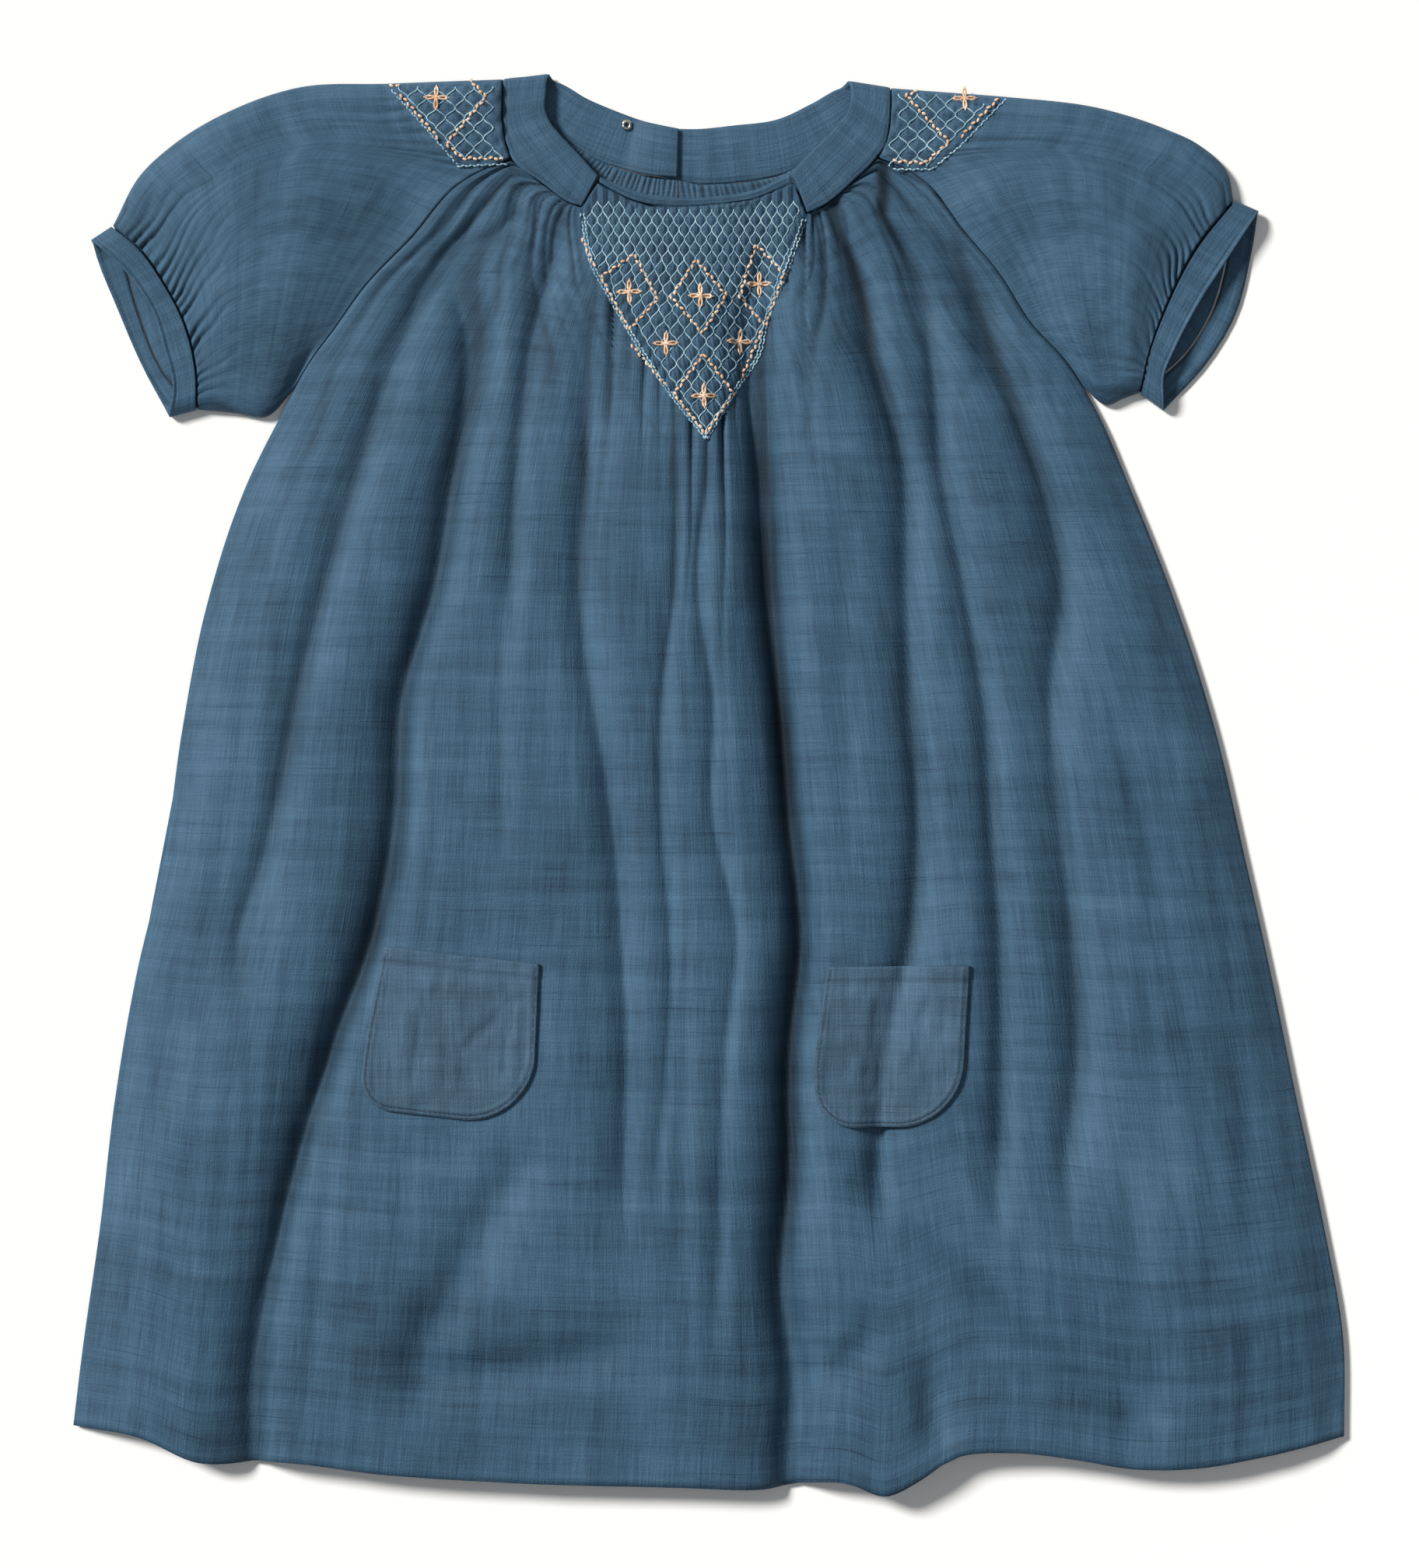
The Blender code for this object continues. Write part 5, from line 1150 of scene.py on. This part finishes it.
def makeStud():
    radius, height = tableColumns(studForm["profile"])
    angle = np.arange(studForm["sides"]) * 2 * math.pi / studForm["sides"]
    holes = np.exp(-((np.cos(2 * angle) - 1) / 0.12) ** 2)  # four sewing notches in the rim
    radius, height = radius[:, None], height[:, None]
    r = radius - 0.45 * holes * np.exp(-((radius - 2.3) / 0.25) ** 2)
    z = height - 0.3 * holes * np.exp(-((radius - 2.0) / 0.3) ** 2) * (height > 0.3)
    points = np.stack((studForm["x"] + r * np.cos(angle), studForm["y"] + r * np.sin(angle),
                       studForm["base"] + z), axis=-1)
    index = np.arange(r.size).reshape(r.shape)
    after, upper = np.roll(index, -1, axis=1), np.roll(index, -1, axis=0)
    faces = np.stack((index, after, np.roll(upper, -1, axis=1), upper), axis=-1).reshape(-1, 4)
    return makePiece("studPlate", points.reshape(-1, 3), faces.tolist(), plate, nodes=("press_stud",),
                     slot="stud_metal")


makeStud()

# Threads of the smocking

stitching = {
    "peachPitch": 2.3, "peachBead": (1.12, 0.66, 0.62), "cablePitch": 1.7, "cableBead": (0.95, 0.42, 0.42),
    "petal": 4.3, "petalWide": 0.85, "petalThread": 0.48,
    # peach cable rows, by the picture's own pixels
    "frontRows": (
        ((815, 328), (773, 357), (809, 425), (846, 385), (815, 328)),
        ((895, 335), (863, 383), (903, 429), (934, 380), (895, 335)),
        ((972, 314), (951, 381), (984, 418)), ((972, 314), (1008, 352), (984, 418)),
        ((905, 456), (867, 508), (907, 559), (943, 506), (905, 456)),
        ((748, 305), (765, 345)), ((811, 443), (857, 498)), ((980, 423), (953, 485))),
    "frontDaisies": ((809, 376), (901, 381), (976, 364), (856, 443), (951, 439), (905, 510)),
    "leftRows": (
        ((514, 121), (565, 180)), ((574, 186), (625, 125), (603, 101)),
        ((574, 186), (595, 204), (648, 204)), ((499, 108), (515, 111))),
    "rightRows": (
        ((1284, 126), (1234, 178)), ((1181, 115), (1165, 123), (1220, 184), (1189, 210), (1147, 207))),
    "leftDaisy": (561, 126), "rightDaisy": (1240, 126),
    "leftBorder": ((503, 115), (590, 214), (652, 211)),
    "rightBorder": ((1294, 126), (1235, 188), (1198, 218), (1143, 218)),
}


def toPlan(pixels):
    return np.array([fromPicture(*p) for p in pixels])


# Stitches of one cable row: beads at an even pitch, each second one set to the other side
def cableRow(plan, skin, pitch, size, lean, offset):
    length = chordLength(plan)[-1]
    count = max(int(length / pitch), 2)
    places = alongChords(plan, (np.arange(count) + 0.5) / count)
    step = alongChords(plan, np.clip((np.arange(count) + 0.9) / count, 0, 1)) - places
    angle = np.arctan2(step[:, 1], step[:, 0])
    odd = np.where(np.arange(count) % 2, 1.0, -1.0)
    x = places[:, 0] - np.sin(angle) * offset * odd
    y = places[:, 1] + np.cos(angle) * offset * odd
    z = skin(x, y) + size[2] * 0.55
    return beads(np.stack((x, y, z), -1), angle + lean * odd, size)


# A lazy-daisy cross: four looped petals, each a teardrop, held at its end by a short stitch
def daisy(centre, skin):
    x0, y0 = centre
    phi = np.arange(18) * 2 * math.pi / 18
    paths, ties = [], []
    for k in range(4):
        turn = k * math.pi / 2 + math.pi / 2 + 0.06 * math.sin(x0 * 3 + k)
        run = 0.5 + stitching["petal"] * (0.5 - 0.5 * np.cos(phi))
        wide = stitching["petalWide"] * np.sin(phi) * (0.55 + 0.45 * (0.5 - 0.5 * np.cos(phi)))
        cos, sin = math.cos(turn), math.sin(turn)
        x, y = x0 + run * cos - wide * sin, y0 + run * sin + wide * cos
        z = skin(x, y) * 0.5 + skin(x0 + run * cos, y0 + run * sin) * 0.5 + 0.5
        paths.append(np.stack((x, y, z), -1))
        tie = stitching["petal"] + 0.9
        ties.append((x0 + tie * cos, y0 + tie * sin, turn))
    tieX, tieY, tieTurn = np.array(ties).T
    ends = beads(np.stack((tieX, tieY, skin(tieX, tieY) + 0.35), -1), tieTurn, (0.75, 0.4, 0.38))
    centreZ = float(skin(np.array([x0]), np.array([y0]))[0]) + 0.75
    middle = beads(np.array(((x0, y0, centreZ),)), np.zeros(1), (0.8, 0.8, 0.5))
    return joined((tubes(np.array(paths), stitching["petalThread"], 6, True), ends, middle))


# Lattice threads: one short curved stitch for each side of a diamond, and a knot at each crossing
def latticeThreads(knots, toXY, keep, skin, strand, seed):
    rng = np.random.default_rng(seed)
    a, b = knots
    paths = []
    part = np.linspace(0.03, 0.97, 7)
    for direction in (-1, 1):
        bend = 0.10 + 0.05 * rng.uniform(-1, 1, len(a))[:, None]
        across = a[:, None] + direction * (part - bend * np.sin(2 * math.pi * part))
        x, y = toXY(across, b[:, None] + part)
        good = keep(x[:, 3], y[:, 3]) & keep(x[:, 0], y[:, 0]) & keep(x[:, 6], y[:, 6])
        x, y = x[good], y[good]
        z = skin(x, y)
        z = np.maximum(z, 0.5 * (z[:, :1] + z[:, -1:])) * 0.5 + z.max(axis=1, keepdims=True) * 0.3 + z * 0.2
        paths.append(np.stack((x, y, z + 0.12 + 0.2 * np.sin(math.pi * part)), -1))
    paths = np.concatenate(paths)
    thick = strand * (0.75 + 0.35 * np.sin(math.pi * part))[None] * rng.uniform(0.85, 1.15, (len(paths), 1))
    kx, ky = toXY(a, b)
    good = keep(kx, ky)
    kx, ky = kx[good], ky[good]
    angles = rng.uniform(-0.5, 0.5, len(kx))
    made = beads(np.stack((kx, ky, skin(kx, ky) + 0.45), -1), angles, (0.42, 0.6, 0.4), 4, 6)
    return joined((tubes(paths, thick, 5), made))


def inFrontV(x, y, margin=1.4):
    t = rowOf(frontY, x, y)
    inside = (x > vLeftAt(t) + margin) & (x < vRightAt(t) - margin)
    return inside & (t < tipRow) & (y < smocking["top"]) & (t > 0.004)


def knotGrid(aMin, aMax, bMin, bMax):
    a, b = np.meshgrid(np.arange(aMin, aMax + 1), np.arange(bMin, bMax + 1), indexing="ij")
    even = (a + b) % 2 == 0
    return a[even].astype(float), b[even].astype(float)


def peachRow(pixels, skin):
    return cableRow(toPlan(pixels), skin, stitching["peachPitch"], stitching["peachBead"], 0.35, 0.28)


def paleRow(plan, skin):
    return cableRow(plan, skin, stitching["cablePitch"], stitching["cableBead"], 0.3, 0.12)


# Threads of the V: pale lattice and two rows along each edge, peach rows and crosses
def frontThreads():
    pale = [latticeThreads(knotGrid(-26, 26, 0, 28), fromLattice, inFrontV, frontSkin, smocking["strand"], 7)]
    peach = [peachRow(row, frontSkin) for row in stitching["frontRows"]]
    peach += [daisy(fromPicture(*place), frontSkin) for place in stitching["frontDaisies"]]
    for key, inward in (("vLeft", 1.0), ("vRight", -1.0)):
        line = along(frontForm[key], np.linspace(0.02, 1, 40))
        pale += [paleRow(line + np.array((inward, 0.0)) * inset, frontSkin) for inset in (0.9, -0.5)]
    return pale, peach


# Threads of one shoulder, kept inside its smocking, below the top fold and clear of the band
def shoulderThreads(side):
    table, skin = sleeveForm[side], sleeveSkins[side].at
    outline = list(table["smocking"])
    halfWide, halfTall = sleeveForm["cellWide"] / 2, sleeveForm["cellTall"] / 2
    topX, topY = tableColumns(sorted(table["top"]))
    bandY, bandX = tableColumns(sorted((y, x) for x, y in table["band"]))

    def toSleeve(a, b):
        return table["knot"][0] + a * halfWide, table["knot"][1] - b * halfTall

    def inShoulder(x, y):
        edge = np.interp(y, bandY, bandX)
        clear = (x < edge - 1.0) if side == "left" else (x > edge + 1.0)
        worked = insideOf(outline, x, y) & (lineDistance(x, y, outline[1:-1]) > 1.5)
        return worked & (y < np.interp(x, topX, topY) - 1.2) & clear

    pale = [latticeThreads(knotGrid(-12, 12, -8, 8), toSleeve, inShoulder, skin, 0.28, 17)]
    peach = [peachRow(row, skin) for row in stitching[side + "Rows"]]
    peach.append(daisy(fromPicture(*stitching[side + "Daisy"]), skin))
    pale.append(paleRow(toPlan(stitching[side + "Border"]), skin))
    return pale, peach


pale, peach = frontThreads()
for side in ("left", "right"):
    more = shoulderThreads(side)
    pale, peach = pale + more[0], peach + more[1]
makePiece("smockThread", *joined(pale), paleThread)
makePiece("cableThread", *joined(peach), peachThread)
print("threads made")

# Floor, light and camera

# Camera height, the cloth level it frames and the sensor, then the lamps' strengths
studio = {"floor": "#F7F6F3", "distance": 2.2, "frameTall": 705.6, "clothHigh": 0.008, "sensor": 36.0,
          "key": 4.3, "fill": 7.0, "world": 0.2}


def makeFloor():
    grid = np.linspace(-3.0, 3.0, 13)
    x, y = np.meshgrid(grid, grid, indexing="ij")
    points = np.stack((x, y, np.full_like(x, -0.0002)), axis=-1).reshape(-1, 3)
    index = np.arange(x.size).reshape(x.shape)
    mesh = bpy.data.meshes.new("floor")
    mesh.from_pydata(points.tolist(), [], gridQuads(index).tolist())
    # Matt paper: a pale even ground with hardly any gloss
    material, tree = newMaterial("matt background paper")
    place = addNode(tree, "ShaderNodeTexCoord").outputs["Object"]
    grain = addNode(tree, "ShaderNodeTexNoise", {"Scale": 300.0}, {"Vector": place})
    bump = addNode(tree, "ShaderNodeBump", {"Strength": 0.05, "Distance": 0.0003},
                   {"Height": grain.outputs["Fac"]})
    shader = addNode(tree, "ShaderNodeBsdfPrincipled", {"Base Color": hexColour(studio["floor"]),
                                                        "Roughness": 0.95},
                     {"Normal": bump.outputs["Normal"]})
    addNode(tree, "ShaderNodeOutputMaterial", None, {"Surface": shader.outputs["BSDF"]})
    mesh.materials.append(material)
    floor = bpy.data.objects.new("floor", mesh)
    bpy.context.scene.collection.objects.link(floor)


# A lamp that looks at the origin
def addLamp(name, kind, place, settings):
    light = bpy.data.lights.new(name, kind)
    for key, value in settings.items():
        setattr(light, key, value)
    lamp = bpy.data.objects.new(name, light)
    lamp.location = place
    lamp.rotation_mode = "QUATERNION"
    lamp.rotation_quaternion = Vector(place).to_track_quat("Z", "Y")
    bpy.context.scene.collection.objects.link(lamp)


makeFloor()
addLamp("key", "SUN", (-1.5, 0.95, 1.45),
        {"energy": studio["key"], "color": (1.0, 0.985, 0.96), "angle": math.radians(14.0)})
addLamp("fill", "AREA", (0.5, -0.5, 2.6),
        {"shape": "DISK", "size": 2.4, "energy": studio["fill"], "color": (0.96, 0.98, 1.0)})
world = bpy.data.worlds.new("studio")
world.use_nodes = True
sky = world.node_tree.nodes["Background"].inputs
sky["Color"].default_value = (0.93, 0.96, 1.0, 1.0)
sky["Strength"].default_value = studio["world"]
bpy.context.scene.world = world
bpy.context.scene.view_settings.view_transform = "Standard"

camera = bpy.data.objects.new("camera", bpy.data.cameras.new("camera"))
camera.data.type = "PERSP"
camera.data.sensor_width = studio["sensor"]
camera.data.lens = studio["sensor"] * (studio["distance"] - studio["clothHigh"]) / (studio["frameTall"] * mm)
camera.location = (*[v * mm for v in fromPicture(*framePx)], studio["distance"])
camera.rotation_euler = (0.0, 0.0, 0.0)
bpy.context.scene.collection.objects.link(camera)
bpy.context.scene.camera = camera

print("scene made")
